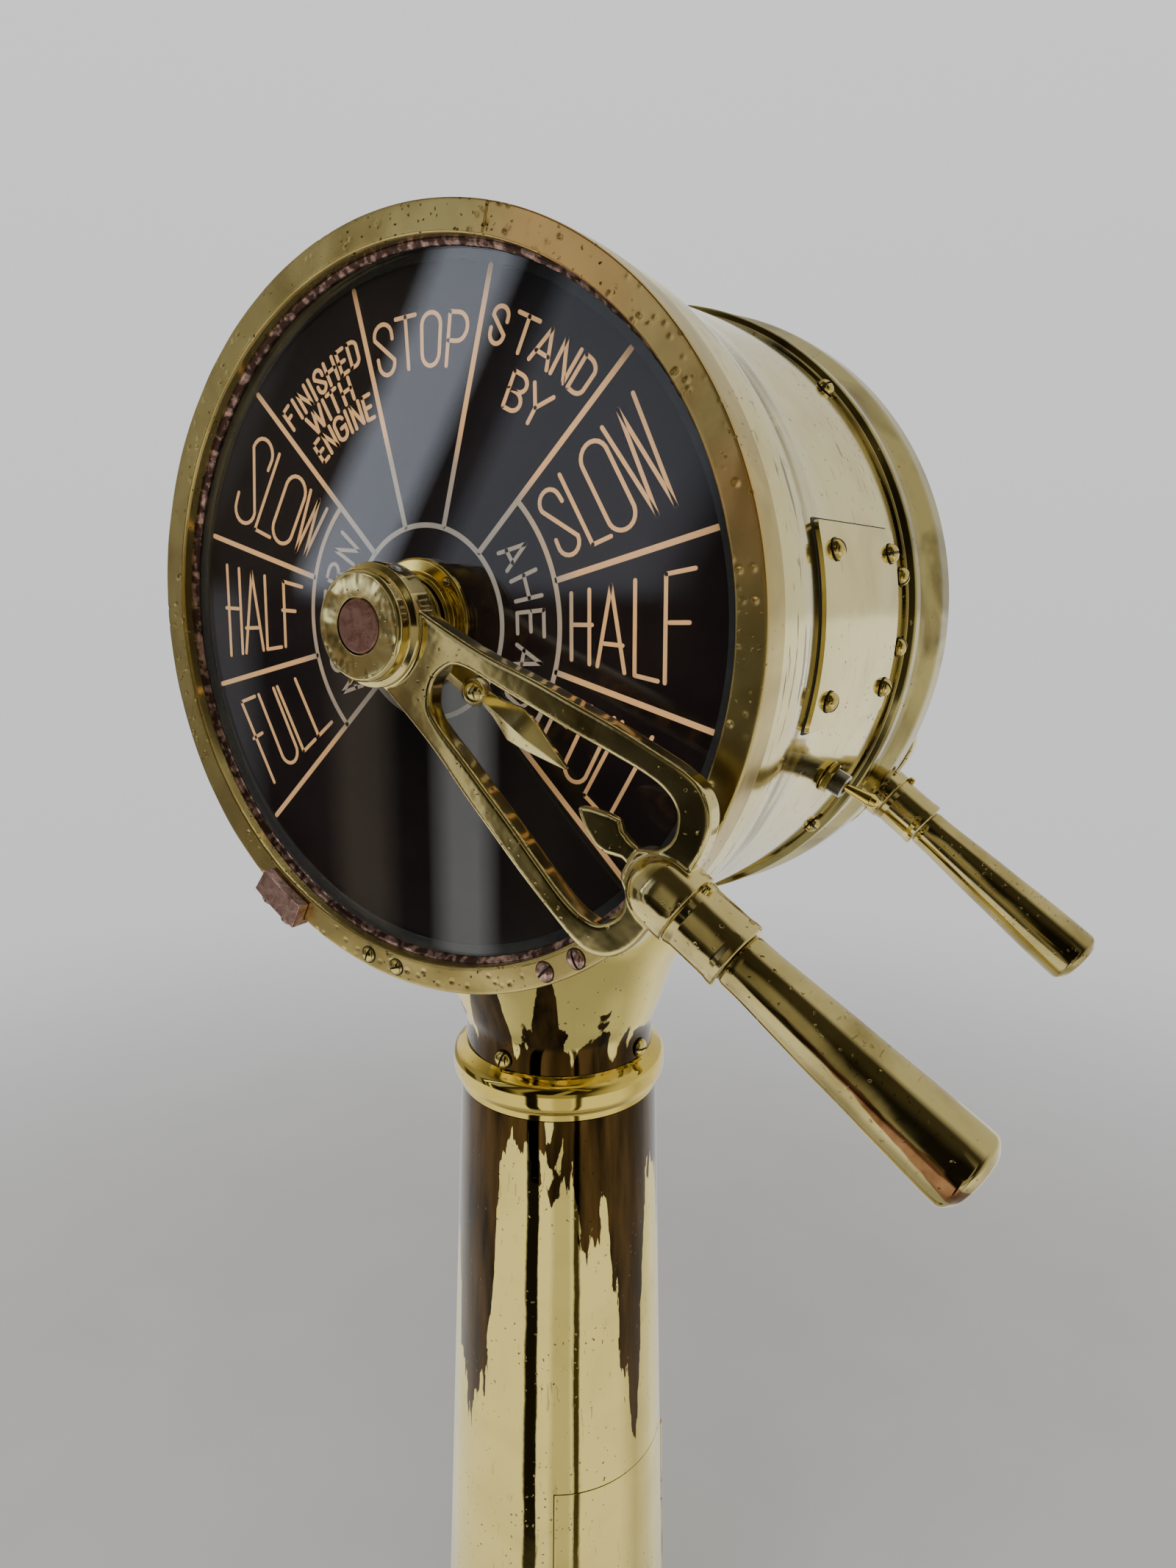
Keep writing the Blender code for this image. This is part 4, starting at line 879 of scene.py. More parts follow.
def make_cover():
    """The curved hand-hole cover on the drum's side, a black sheet under it that paints the shadow along its
    edges, and its four screws.
    """
    half_height = COVER_R * math.sin(math.radians(15))
    shell = tube_shape(COVER_R, COVER_UNDERSIDE, -62, -160)
    plate = boolean(shell, [cover_block(-49, 49, half_height)], "INTERSECT")
    # A black sheet just larger than the cover, under it: painted shadow along the cover's edges
    shadow_sheet = tube_shape(161.2, 157, -55, -165)
    shadow_sheet = boolean(shadow_sheet, [cover_block(-50.4, 49.6, half_height + 0.9)], "INTERSECT")
    show("cover_shadow_sheet", shadow_sheet, BLACK_RUBBER_AND_SHADOW, FRONT)
    places = [(math.radians(angle), along) for angle in (78.5, 100.2) for along in (77.5, 151.5)]
    seats = [seat_on_rim(*place, COVER_R - 0.1) for place in places]
    holes = [moved(rod_shape(3.1, -12, 12), FRONT.inverted() @ seat) for seat in seats]
    plate = soften(boolean(plate, holes), 0.45, 3, 40)
    show("side_cover", plate, COVER, FRONT, ["side_cover_plate"])
    head = slotted_screw("cover_screw_head", 4.4, 3.9, 0.7)
    for index, place in enumerate(places):
        seat = seat_on_rim(*place, COVER_R + 0.2)
        screw(f"cover_screw_head_{index + 1}", head, SCREW_BRASS, seat, 25 + 67 * index,
              replaced=[f"cover_screw_{index + 1}"])


def make_rear_joint_screws():
    """Round-headed screws that hold the rear ring, just in front of its bead."""
    seats = [seat_on_rim(math.radians(angle), 174.6, 161.1) for angle in (1, 46, 82, 94, 131, 229, 272, 317)]
    screw_row("joint_screw", slotted_screw("joint_screw_head", 4.5, 4.0, 0.8), SCREW_BRASS, seats, 40, 53)


def make_bezel_screws():
    """Two brass screws low on the bezel's face, and two copper ones on a small plate."""
    seats = [seat_on_face(FRONT, math.radians(angle), 159, 0.1) for angle in (190.8, 184.4)]
    head = slotted_screw("bezel_screw_head", 3.7, 1.5, 0.2, 1.0, 1.0)
    screw_row("bezel_screw", head, SCREW_BRASS, seats, 75, -50)
    tab = prism_shape(arc(163.2, -67, -52, 8) + arc(154.2, -52, -67, 8), 0, 1.0)
    show("bezel_tab", soften(tab, 0.3, 2), BEZEL, FRONT)
    seats = [seat_on_face(FRONT, math.radians(angle), 159, 0.8) for angle in (152.7, 146.2)]
    screw_row("tab_screw", slotted_screw("tab_screw_head", 4.3, 2.4, 0.4), COPPER, seats, 20, 60)


def make_clamp():
    """The copper block clipped over the bezel's rim at the lower left, with two domed screws."""
    start, end = 90 - 217, 90 - 206.6
    face = prism_shape(arc(168.4, start, end, 6) + arc(155, end, start, 6), 0.2, 6.3)
    lip = prism_shape(arc(168.4, start, end, 6) + arc(165.3, end, start, 6), -8.8, 5)
    block = boolean(soften(face, 0.5, 2), [soften(lip, 0.4, 2)], "UNION")
    show("clamp_body", block, COPPER, FRONT, ["bezel_clamp_block"])
    seats = [seat_on_rim(math.radians(angle), -1.2, 168) for angle in (214.4, 209.2)]
    head = slotted_screw("clamp_screw_head", 4.5, 4.6, 1.0, 1.3, 2.0)
    screw_row("clamp_screw", head, COPPER, seats, 80, 15)


DIAL_FACE = -13.2           # the dial plate's front, behind the bezel's face
PUTTY_INNER_R = 146


def make_glazing(name, face):
    """One face: putty fillet, glass, seal, dial plate and centre gland."""
    def lump(spot):
        rough = noise.fractal(spot * 0.32, 0.6, 2.0, 4)
        toward = Vector((spot.x, spot.y, 0)).normalized()
        inner = max(0.0, 1 - (Vector((spot.x, spot.y)).length - PUTTY_INNER_R) / 6)
        return spot - toward * rough * 0.7 * inner + Vector((0, 0, rough * 0.4 * inner))
    fillet = rounded([
        (152.2, -5.6), (152.2, -8.1), (149.7, -8.1), (149.9, -7.3, 0.4), (151.0, -6.1, 0.6),
        (151.8, -5.7, 0.2),
    ])
    fillet = turned(f"{name}_putty", fillet, 720, 60, lump)
    show(f"{name}_putty", fillet, PUTTY, face, [f"{name}_putty_ring"])
    pane = rounded([(151.6, -11), (151.6, -8.3), (22, -8.3), (22, -11)])
    piece = show(f"{name}_pane", turned_shape(pane, 128), PANE, face, [f"{name}_glass"])
    piece.visible_shadow = False
    seal = rounded([(151.4, -12.9), (151.4, -11.3), (145.6, -11.3, 0.3), (145.6, -12.9)])
    show(f"{name}_seal", turned_shape(seal, 192), BLACK_RUBBER_AND_SHADOW, face, [f"{name}_gasket"])
    plate = [(151.6, -15.4), (151.6, DIAL_FACE), (22, DIAL_FACE), (22, -15.4)]
    show(f"{name}_dial_plate", turned_shape(plate, 128), DIAL, face, [f"{name}_dial"])
    gland = rounded([
        (15.6, -1), (20.6, -1, 0.6), (21.6, -2.2, 0.6), (22, -5.0, 0.6), (27.2, -5.2, 0.8), (28, -6.2, 0.6),
        (28, -8), (21.3, -8), (21.3, -19), (15.6, -19),
    ])
    show(f"{name}_gland_body", turned_shape(gland, 96), GOLD, face, replaced=[f"{name}_gland"])
    seats = [seat_on_face(face, math.radians(angle), 25, -5.3) for angle in (45, 135, 225, 315)]
    head = slotted_screw(f"{name}_gland_screw_head", 1.9, 1.2, 0.2, 0.5, 0.6)
    screw_row(f"{name}_gland_screw", head, SCREW_BRASS, seats, 30, 47)


# Dial lettering. A letter is a list of strokes in a cell of width 1 and height 1.

def letter_strokes(letter, slim):
    """The strokes of one letter. slim is its width over its height. A closed stroke ends where it starts."""
    half = min(slim / 2, 0.27)
    stem = [(0, 0), (0, 1)]
    top, bottom = (0.5, 1 - half, 0.5, half), (0.5, half, 0.5, half)
    if letter == "S":
        return [[(1, 1 - half - 0.10)] + bend(*top, -5, 185) + bend(*bottom, 5, -185) + [(0, half + 0.12)]]
    if letter == "O":
        return [bend(*top, 0, 180) + bend(*bottom, 180, 360) + [(1, 1 - half)]]
    if letter == "D":
        bow = bend(0.35, 1 - half, 0.65, half, 90, 0) + bend(0.35, half, 0.65, half, 0, -90)
        return [stem, [(0, 1)] + bow + [(0, 0)]]
    if letter in "PBR":
        low = 0.47 if letter == "P" else 0.52
        bow = (1 - low) / 2
        strokes = [stem, [(0, 1)] + bend(0.45, 1 - bow, 0.5, bow, 90, -90) + [(0, low)]]
        if letter == "B":
            strokes.append([(0, low)] + bend(0.45, low / 2, 0.55, low / 2, 90, -90) + [(0, 0)])
        if letter == "R":
            strokes.append([(0.5, low), (1, 0)])
        return strokes
    if letter == "U":
        return [[(0, 1)] + bend(*bottom, 180, 360) + [(1, 1)]]
    if letter == "G":
        return [bend(*top, 20, 180) + bend(*bottom, 180, 360) + [(1, 0.48), (0.55, 0.48)]]
    straight = {
        "L": [[(0, 1), (0, 0)], [(0, 0), (1, 0)]],
        "I": [[(0.5, 0), (0.5, 1)]],
        "T": [[(0, 1), (1, 1)], [(0.5, 1), (0.5, 0)]],
        "H": [stem, [(1, 0), (1, 1)], [(0, 0.53), (1, 0.53)]],
        "N": [stem, [(0, 1), (1, 0)], [(1, 0), (1, 1)]],
        "A": [[(0, 0), (0.5, 1)], [(1, 0), (0.5, 1)], [(0.17, 0.30), (0.83, 0.30)]],
        "E": [stem, [(0, 1), (1, 1)], [(0, 0.5), (0.85, 0.5)], [(0, 0), (1, 0)]],
        "F": [stem, [(0, 1), (1, 1)], [(0, 0.56), (0.68, 0.56)]],
        "Y": [[(0, 1), (0.5, 0.46)], [(1, 1), (0.5, 0.46)], [(0.5, 0.46), (0.5, 0)]],
        "W": [[(0, 1), (0.28, 0)], [(0.28, 0), (0.52, 1)], [(0.52, 1), (0.76, 0)], [(0.76, 0), (1, 1)]],
    }
    return straight[letter]


def dial_spot(radius, degrees):
    turn = math.radians(degrees)
    return radius * math.sin(turn), radius * math.cos(turn)


def ribbon(points, width, low, high):
    """A flat stroke along points in the dial's plane: round ends, or a ring where it closes."""
    closed = (Vector(points[0]) - Vector(points[-1])).length < 0.01
    spots = [Vector(point) for point in points]
    if closed:
        spots.pop()
    count = len(spots)
    left, right = [], []
    for i, spot in enumerate(spots):
        before = spots[i - 1] if closed or i > 0 else spot * 2 - spots[1]
        after = spots[(i + 1) % count] if closed or i < count - 1 else spot * 2 - spots[i - 1]
        onward = after - spot
        along = ((spot - before).normalized() + onward.normalized()).normalized()
        side = Vector((-along.y, along.x)) * width / 2
        stretch = 1 / max(0.6, side.normalized().dot(Vector((-onward.y, onward.x)).normalized()))
        left.append(spot + side * stretch)
        right.append(spot - side * stretch)
    if not closed:
        outline = left[::-1] + cap_points(spots[0], left[0]) + right + cap_points(spots[-1], right[-1])
        return prism_shape([tuple(spot) for spot in outline], low, high)
    shape = bmesh.new()
    rings = []
    for edge in (left, right):
        for height in (low, high):
            rings.append([shape.verts.new((p.x * MM, p.y * MM, height * MM)) for p in edge])
    left_low, left_high, right_low, right_high = rings
    for first, second in ((left_low, left_high), (left_high, right_high), (right_high, right_low),
                          (right_low, left_low)):
        bridge(shape, first, second)
    return shape


def cap_points(centre, start, steps=6):
    """Points of a round end that starts at one edge of a stroke."""
    first = start - centre
    result = []
    for i in range(1, steps):
        turn = math.pi * i / steps
        c, s = math.cos(turn), math.sin(turn)
        result.append(centre + Vector((first.x * c - first.y * s, first.x * s + first.y * c)))
    return result


STROKE = 1.7
BOLD_STROKE = 1.75
RING_LINE = 2.2
SECTOR_LINE = 2.4
HEADING = 89                # where the middle of AHEAD and of ASTERN stands from the top, degrees
SECTOR = 29.8               # one order's share of the dial, degrees
HALF_HEIGHT = 9.7           # half the height of a radial word, degrees
RADIAL_WORDS = {            # letter, start and end radius on the side where the word runs outwards
    "SLOW": [("S", 76.9, 87), ("L", 92, 100.8), ("O", 101.6, 114.2), ("W", 117.2, 134.6)],
    "HALF": [("H", 77.4, 86), ("A", 89.8, 102.4), ("L", 107, 117.4), ("F", 120.5, 132.8)],
    "FULL": [("F", 77.4, 87.6), ("U", 91.4, 102.6), ("L", 106.6, 116.6), ("L", 121, 131.6)],
}
INWARD_WORDS = {            # the same words where they run inwards from the rim
    "SLOW": [("S", 133, 119), ("L", 116.5, 105.4), ("O", 105, 91.4), ("W", 90.2, 77)],
    "HALF": [("H", 133.4, 124.4), ("A", 121.6, 108.4), ("L", 105.4, 95), ("F", 92, 79)],
    "FULL": [("F", 133.6, 122.6), ("U", 119.4, 107.4), ("L", 104.4, 93.6), ("L", 90.4, 78.4)],
}
ARC_WORDS = {               # letter, start and end angle from the sector's centre; both radii; stroke
    "STOP": ([("S", -12.3, -7.6), ("T", -6.2, -1.2), ("O", 0.4, 5.2), ("P", 7.4, 12.2)],
             105.8, 126.4, STROKE),
    "STAND": ([("S", -12.2, -8.9), ("T", -6.9, -2.2), ("A", -1.6, 3.1), ("N", 4.2, 7.7), ("D", 9, 12.2)],
              117.4, 131.4, STROKE),
    "BY": ([("B", -3.7, 0.7), ("Y", 1.9, 7.5)], 96.8, 111, STROKE),
    "FINISHED": ([("F", -12.6, -10.4), ("I", -9.4, -8.2), ("N", -7.1, -4.4), ("I", -3.4, -2.2),
                  ("S", -1.1, 1.3), ("H", 2.6, 5.2), ("E", 6.6, 8.6), ("D", 9.9, 12.3)],
                 115.9, 126.2, BOLD_STROKE),
    "WITH": ([("W", -8.2, -3), ("I", -2.2, -0.8), ("T", 0, 3.2), ("H", 4.7, 7.7)], 103.9, 113.6, BOLD_STROKE),
    "ENGINE": ([("E", -10.4, -7.9), ("N", -6.3, -3.1), ("G", -1.6, 1.9), ("I", 2.8, 4.1), ("N", 5.3, 8.4),
                ("E", 10, 12.5)], 91.9, 102, BOLD_STROKE),
}


def radial_word(letters, centre, outward_run):
    """Strokes of a word that runs along the radius through a sector's centre."""
    result = []
    rise = -HALF_HEIGHT if outward_run else HALF_HEIGHT
    for letter, first, last in letters:
        middle = (first + last) / 2
        slim = abs(last - first) / (2 * math.radians(HALF_HEIGHT) * middle)
        for stroke in letter_strokes(letter, slim):
            result.append([
                dial_spot(first + (last - first) * x, centre + rise * (2 * y - 1)) for x, y in stroke
            ])
    return result


def arc_word(letters, inner, outer, centre):
    """Strokes of a word that runs clockwise with its top outwards."""
    result = []
    for letter, first, last in letters:
        slim = math.radians(last - first) * (inner + outer) / 2 / (outer - inner)
        for stroke in letter_strokes(letter, slim):
            result.append([
                dial_spot(inner + (outer - inner) * y, centre + first + (last - first) * x) for x, y in stroke
            ])
    return result


def ring_word(text, first, pitch, width):
    return [(letter, first + pitch * i, first + pitch * i + width) for i, letter in enumerate(text)]


def make_lettering(name, face, ahead):
    """Lines and orders of one dial. ahead is 1 where AHEAD lies clockwise of the top, else -1."""
    low, high = DIAL_FACE - 0.05, DIAL_FACE + 0.14
    shapes = [ribbon([dial_spot(41.7, 360 * i / 96) for i in range(97)], RING_LINE, low, high)]
    for side in (-1, 1):
        middle_arc = [dial_spot(70.7, side * (44.7 + 89.4 * i / 48)) for i in range(49)]
        shapes.append(ribbon(middle_arc, RING_LINE, low, high))
        for degrees, start in ((14.9, 42.5), (44.7, 42.5), (74.5, 71.5), (104.3, 71.5), (134.1, 42.5)):
            line = [dial_spot(start, side * degrees), dial_spot(144.5, side * degrees)]
            shapes.append(ribbon(line, SECTOR_LINE, low, high))
    strokes = []
    for index, word in enumerate(("SLOW", "HALF", "FULL")):
        centre = (2 + index) * SECTOR - 0.2
        strokes += [(s, STROKE) for s in radial_word(RADIAL_WORDS[word], centre, True)]
        strokes += [(s, STROKE) for s in radial_word(INWARD_WORDS[word], -centre, False)]
    for word, side in (("STOP", 0), ("STAND", 1), ("BY", 1), ("FINISHED", -1), ("WITH", -1), ("ENGINE", -1)):
        letters, inner, outer, width = ARC_WORDS[word]
        strokes += [(s, width) for s in arc_word(letters, inner, outer, side * ahead * SECTOR)]
    for letters, side in ((ring_word("AHEAD", -35.6, 15, 9.6), 1), (ring_word("ASTERN", -38, 13.4, 8.4), -1)):
        strokes += [(s, STROKE) for s in arc_word(letters, 49.8, 63.2, side * ahead * HEADING)]
    shapes += [ribbon(points, width, low, high) for points, width in strokes]
    show(f"{name}_lettering", merged(shapes), LETTERING, face)


# Levers, pointers and shafts

ARM_BACK = 11.5             # the frame's faces, in front of the head
ARM_FRONT = 20.5
FRONT_GRIP_TIP = 301.5      # each handle's end, from the shaft
REAR_GRIP_TIP = 307.5
NOSE_HEIGHT = 29.4
SHAFT_REACH = 29.8          # how far the shaft stands in front of each face


def along_lever(shape):
    """Turns a shape made about Z so that its axis lies along the lever."""
    return moved(shape, Matrix.Translation((0, 0, HANDLE_PLANE * MM)) @ Matrix.Rotation(-QUARTER, 4, "X"))


def make_lever_mesh():
    """The open frame, its elbow dome and its arrow leaf, as one casting. +Y runs along the lever."""
    outline = flowing(mirrored([
        (16, -8), (18.6, 8), (19.5, 20), (22, 40), (24.8, 56), (29.5, 75), (33, 92), (37.5, 114),
        (41, 136), (42.2, 146), (41.6, 154), (38, 160.5), (32, 165), (24, 167.6), (14, 168.4),
    ]), 5)
    opening = flowing(mirrored([
        (2, 38), (6, 39.2), (11.2, 42.6), (14.4, 50), (17.2, 65), (20.5, 82), (23.6, 98), (28, 118),
        (31, 133), (31.6, 143), (29.4, 150.4), (24, 154.6), (17.6, 156), (11.4, 153.4), (7.6, 148.6),
        (4, 147),
    ]), 5)
    arms = boolean(prism_shape(outline, ARM_BACK, ARM_FRONT), [prism_shape(opening, 0, 40)])
    soften(arms, 1.1, 2, 50)
    leaf = prism_shape([
        (-0.6, 117.6), (-3.6, 122), (-6.6, 128.5), (-8.4, 134.6), (-5.6, 137.6), (-4.4, 142.6), (-5, 154),
        (5, 154), (3.2, 143.4), (4.4, 141.2), (6.6, 137), (7.2, 132), (4.8, 124.5), (0.8, 118),
    ], ARM_BACK + 0.8, ARM_BACK + 4.6)
    soften(leaf, 0.7, 2, 40)
    dome = [(0, 149.2)] + [(14.7 * math.sin(t), 164.6 - 15.4 * math.cos(t)) for t in
                           (QUARTER * i / 10 for i in range(1, 11))] + [(14.8, 172), (14.6, 175), (0, 175)]
    collar = turned_shape(rounded([(0, 21.4), (25.8, 21.4, 1.4), (26, 11, 1), (0, 11)]), 96)
    body = boolean(arms, [along_lever(turned_shape(dome, 64)), collar, leaf], "UNION")
    return finish_mesh(melted(body, 0.6, 4), "lever_casting", 80)


def ridged_leaf(half, back, edge, ridge):
    """A leaf with a sharp ridge on its front. half lists (half width, distance) from the tip to the root."""
    shape = bmesh.new()
    rows = []
    for index, (width, along) in enumerate(half):
        rise = edge + 0.4 if index == 0 else ridge
        rows.append([shape.verts.new((x * MM, along * MM, z * MM)) for x, z in
                     ((-width, back), (-width, edge), (0, rise), (width, edge), (width, back))])
    for first, second in zip(rows, rows[1:]):
        bridge(shape, first, second)
    shape.faces.new(rows[0])
    shape.faces.new(list(reversed(rows[-1])))
    return shape


def make_lever_hub_mesh():
    """The round nose, bored for the shaft, its face uneven and with a small nib on its rim."""
    profile = rounded([
        (11.75, NOSE_HEIGHT, 0.3), *((radius, NOSE_HEIGHT) for radius in (14, 16, 18, 20)), (21.6, 29.5, 1.2),
        (22.8, 28, 1.4), (22.9, 23.4, 0.8), (25.6, 21.9, 1.0), (25.9, 19, 0.6), (25.9, 12), (11.75, 12),
    ], 5)

    def lump(spot):
        flat = Vector((spot.x, spot.y, 0))
        uneven = noise.noise(flat * 0.11) + 0.5 * noise.noise(flat * 0.3)
        edge = min(1.0, max(0.0, (flat.length - 12) / 5))
        return spot + Vector((0, 0, uneven * 0.13 * edge if spot.z > 27 else 0))
    nose = turned_shape(profile, 160, lump)
    nib = soften(prism_shape([(-2.4, 21.2), (2.2, 21.2), (0.8, 25.8), (-0.6, 26.2)], 22.4, 26.4), 0.4, 2)
    nib = moved(nib, Matrix.Rotation(math.radians(-77), 4, "Z"))
    return finish_mesh(merged([nose, nib]), "lever_hub")


def make_socket_mesh():
    profile = rounded([
        (0, 174.4), (13.2, 174.4, 0.4), (13.9, 175.6, 0.6), (13.3, 178.6, 2), (13.3, 194, 6),
        (13.7, 196.4, 0.8), (13.7, 198.6, 0.8), (13.0, 199.2, 0.4), (6.6, 199.2), (6.6, 186), (0, 186),
    ], 4)
    return finish_mesh(along_lever(turned_shape(profile, 96)), "lever_socket")


def make_grip_mesh(name, tip):
    """A turned handle that swells towards its tip."""
    swell = flowing([
        (10.8, 201.4), (10.9, 210), (11.8, 225), (12.7, 240), (13.4, 256), (14.2, 270), (14.8, 283),
        (15.2, tip - 10),
    ], 4, closed=False)
    profile = rounded([(0, 178), (5.9, 178), (5.9, 199.4), (10.4, 199.4, 0.3)] + swell
                      + [(15.2, tip - 4, 3.5), (11, tip - 0.6, 5), (0, tip)], 5)
    return finish_mesh(along_lever(turned_shape(profile, 96)), name)


def make_levers():
    casting, hub = make_lever_mesh(), make_lever_hub_mesh()
    socket = make_socket_mesh()
    set_screw = slotted_screw("hub_set_screw", 2.9, 1.6, 0.4, 0.7, 0.7)
    nub = rounded([(0, 2.6, 0), (1.6, 2.4, 0.8), (2.2, 1.2, 0.6), (2.3, -1.5), (0, -1.5)])
    nub = turned("socket_nub", nub, 32)
    for name, face, angle, tip in (("front", FRONT, LEVER_ANGLE, FRONT_GRIP_TIP),
                                   ("rear", REAR, -REAR_LEVER_ANGLE, REAR_GRIP_TIP)):
        seat = face @ Matrix.Rotation(-angle, 4, "Z")
        grip = make_grip_mesh(f"{name}_lever_grip", tip)
        show(f"{name}_lever_casting", casting, LEVER, seat, replaced=[f"{name}_lever"], body="levers")
        show(f"{name}_lever_hub", hub, LEVER, seat, body="levers")
        show(f"{name}_lever_socket", socket, LEVER, seat, body="levers")
        show(f"{name}_lever_grip", grip, GRIP, seat, replaced=[f"{name}_grip"], body="levers")
        top = math.copysign(1, angle) * math.radians(27)
        spot = face @ Matrix.Rotation(-top, 4, "Z") @ Matrix.Translation((0, 25.7 * MM, 18.2 * MM))
        upward = spot @ Matrix.Rotation(-QUARTER, 4, "X")
        screw(f"{name}_hub_set_screw", set_screw, STEEL, upward, 20, body="levers")
        side = math.copysign(1, -angle)
        at = seat @ Matrix.Translation((side * 13.4 * MM, 176.6 * MM, 19.5 * MM))
        sideways = at @ Matrix.Rotation(side * QUARTER, 4, "Y")
        show(f"{name}_socket_nub", nub, SCREW_BRASS, sideways, body="levers")
    make_main_shaft()


def make_main_shaft():
    """The lever shaft, from nose to nose."""
    near, far, radius = SHAFT_REACH, -HEAD_DEPTH - SHAFT_REACH, 11.2
    profile = rounded([
        (0, near), (radius - 0.6, near - 0.15, 1), (radius, near - 0.8, 0.4), (radius, far + 0.8, 0.4),
        (radius - 0.6, far + 0.15, 1), (0, far),
    ], 3)
    show("lever_shaft", turned_shape(profile, 96), SHAFT_COPPER, FRONT, ["main_shaft"], "levers")


def make_pointers():
    """The reply pointers: a ribbed hub, a beaded neck and a ridged leaf."""
    leaf_half = [(0.4, 100), (6.4, 79), (7.9, 71), (4.2, 60), (3.5, 54), (4.6, 50.6), (5.6, 46), (5.4, 17)]
    leaf = ridged_leaf(leaf_half, 1.5, 3.6, 7.2)
    bead = moved(turned_shape(bead_profile(6.4, 5.6), 48), Matrix.Translation((0, 48 * MM, 4.2 * MM)))
    boss = turned_shape(rounded([
        (15.8, 0.3), (19.8, 0.3, 0.5), (20, 2, 0.5), (18.4, 2.9, 0.3), (19.6, 3.8, 0.7), (19.4, 5.2, 0.7),
        (18, 5.9, 0.3), (19, 6.8, 0.7), (18.8, 8.4, 0.7), (17.8, 8.9, 0.3), (15.8, 8.9),
    ], 3), 96)
    mesh = finish_mesh(merged([soften(leaf, 0.25, 2, 30), bead, boss]), "reply_leaf", 32)
    for name, face, angle in (("front", FRONT, POINTER_ANGLE), ("rear", REAR, -POINTER_ANGLE)):
        seat = face @ Matrix.Rotation(-angle, 4, "Z")
        show(f"{name}_reply_leaf", mesh, LEVER, seat, replaced=[f"reply_pointer_{name}"],
             body=f"reply_{name}")


def bead_profile(radius, half_height):
    between = [QUARTER - math.pi * i / 12 for i in range(1, 12)]
    side = [(radius * math.cos(t), half_height * math.sin(t)) for t in between]
    return [(0, half_height), *side, (0, -half_height)]


# Lamp switch on the drum's side

SWITCH_SEAT = seat_on_rim(math.radians(116.5), 134, 164.5)
SWITCH_TILT = math.radians(12)
NUT_R = 8.0
THREAD_TURNS = 15
THREAD_PITCH = 0.45
THREAD_FLANK = 0.22


def hexagon_shape(radius, edge, low, high):
    turns = [math.pi * i / 3 for i in range(6)]
    corners = [(radius * math.cos(turn), radius * math.sin(turn), edge) for turn in turns]
    return prism_shape(rounded(corners, 2), low, high)


def make_switch():
    nut = hexagon_shape(NUT_R, 0.5, -4.2, -1.4)
    inner, outer = NUT_R - 1, NUT_R + 0.4
    cone = turned_shape([(0, -6), (inner, -6), (outer, -2.9), (inner, -1.2), (inner, 2), (0, 2)], 48)
    nut = finish_mesh(boolean(nut, [cone], "INTERSECT"), "switch_nut", 25)
    show("switch_nut", nut, SCREW_BRASS, SWITCH_SEAT)
    thread = [(0, 1.5), (3.0, 1.6), (3.9, 5.4), (4.8, 5.4)]
    for index in range(THREAD_TURNS):
        height = 4.9 - index * THREAD_PITCH
        thread += [(5.95, height), (5.55, height - THREAD_FLANK)]
    thread += [(5.9, -4), (5.9, -16.4), (0, -16.4)]
    bushing = turned("switch_bushing", thread, 64, 50)
    show("switch_bushing", bushing, TURNED_STEEL, SWITCH_SEAT, ["toggle_switch_body"])
    washer = rounded([(6.1, -4.3), (NUT_R, -4.3, 0.2), (NUT_R, -4.9), (6.1, -4.9)])
    show("switch_washer", turned_shape(washer, 64), SCREW_BRASS, SWITCH_SEAT)
    case = soften(box_shape((-6.6, -12, -34), (6.6, 12, -15.6)), 0.8, 3)
    show("switch_case", case, PAINT, SWITCH_SEAT)
    bat = rounded([
        (0, 22.4), (1.6, 22.2, 0.8), (2.7, 20.6, 1.4), (3.3, 17.6, 3), (2.4, 10, 8), (1.8, 4, 3),
        (1.7, 2.4, 1), (2.7, 0, 1.6), (2.1, -1.6, 0.8), (0, -2.4),
    ], 5)
    seat = SWITCH_SEAT @ Matrix.Rotation(-SWITCH_TILT, 4, "X")
    show("switch_bat", turned_shape(bat, 48), GOLD, seat, ["toggle_bat"], "toggle")


# Column and base

column_low, column_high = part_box("column_tube")
COLUMN_TOP_R = 55.5
COLUMN_SLOPE = 0.0344
COLUMN_WALL = 4.5
DOOR_FRONT = math.radians(32.5)
DOOR_HINGE = math.radians(147.5)
DOOR_TOP = 518
DOOR_BOTTOM = 250
DOOR_GAP = 0.45
HINGE_OFFSET = 5.2          # from the column's surface to the hinge's axis
LEAF_FACE = 1.8 - HINGE_OFFSET
KNUCKLE_R = 4.6


def column_radius(height):
    return COLUMN_TOP_R + COLUMN_SLOPE * (COLUMN_TOP_Z - height)


def wall_shape(start, end, low, high, out, inner, steps=72):
    """A piece of the column's wall between two azimuths and two heights."""
    shape = bmesh.new()
    layers = []
    for height in (low, high):
        for offset in (out, inner):
            radius = column_radius(height) + offset
            spots = [outward(start + (end - start) * i / steps) * radius for i in range(steps + 1)]
            layers.append([shape.verts.new((spot + Vector((0, 0, height))) * MM) for spot in spots])
    low_out, low_in, high_out, high_in = layers
    for i in range(steps):
        for first, second in ((low_out, high_out), (high_out, high_in), (high_in, low_in), (low_in, low_out)):
            shape.faces.new((first[i], first[i + 1], second[i + 1], second[i]))
    shape.faces.new((low_in[0], low_out[0], high_out[0], high_in[0]))
    shape.faces.new((low_out[-1], low_in[-1], high_in[-1], high_out[-1]))
    return shape


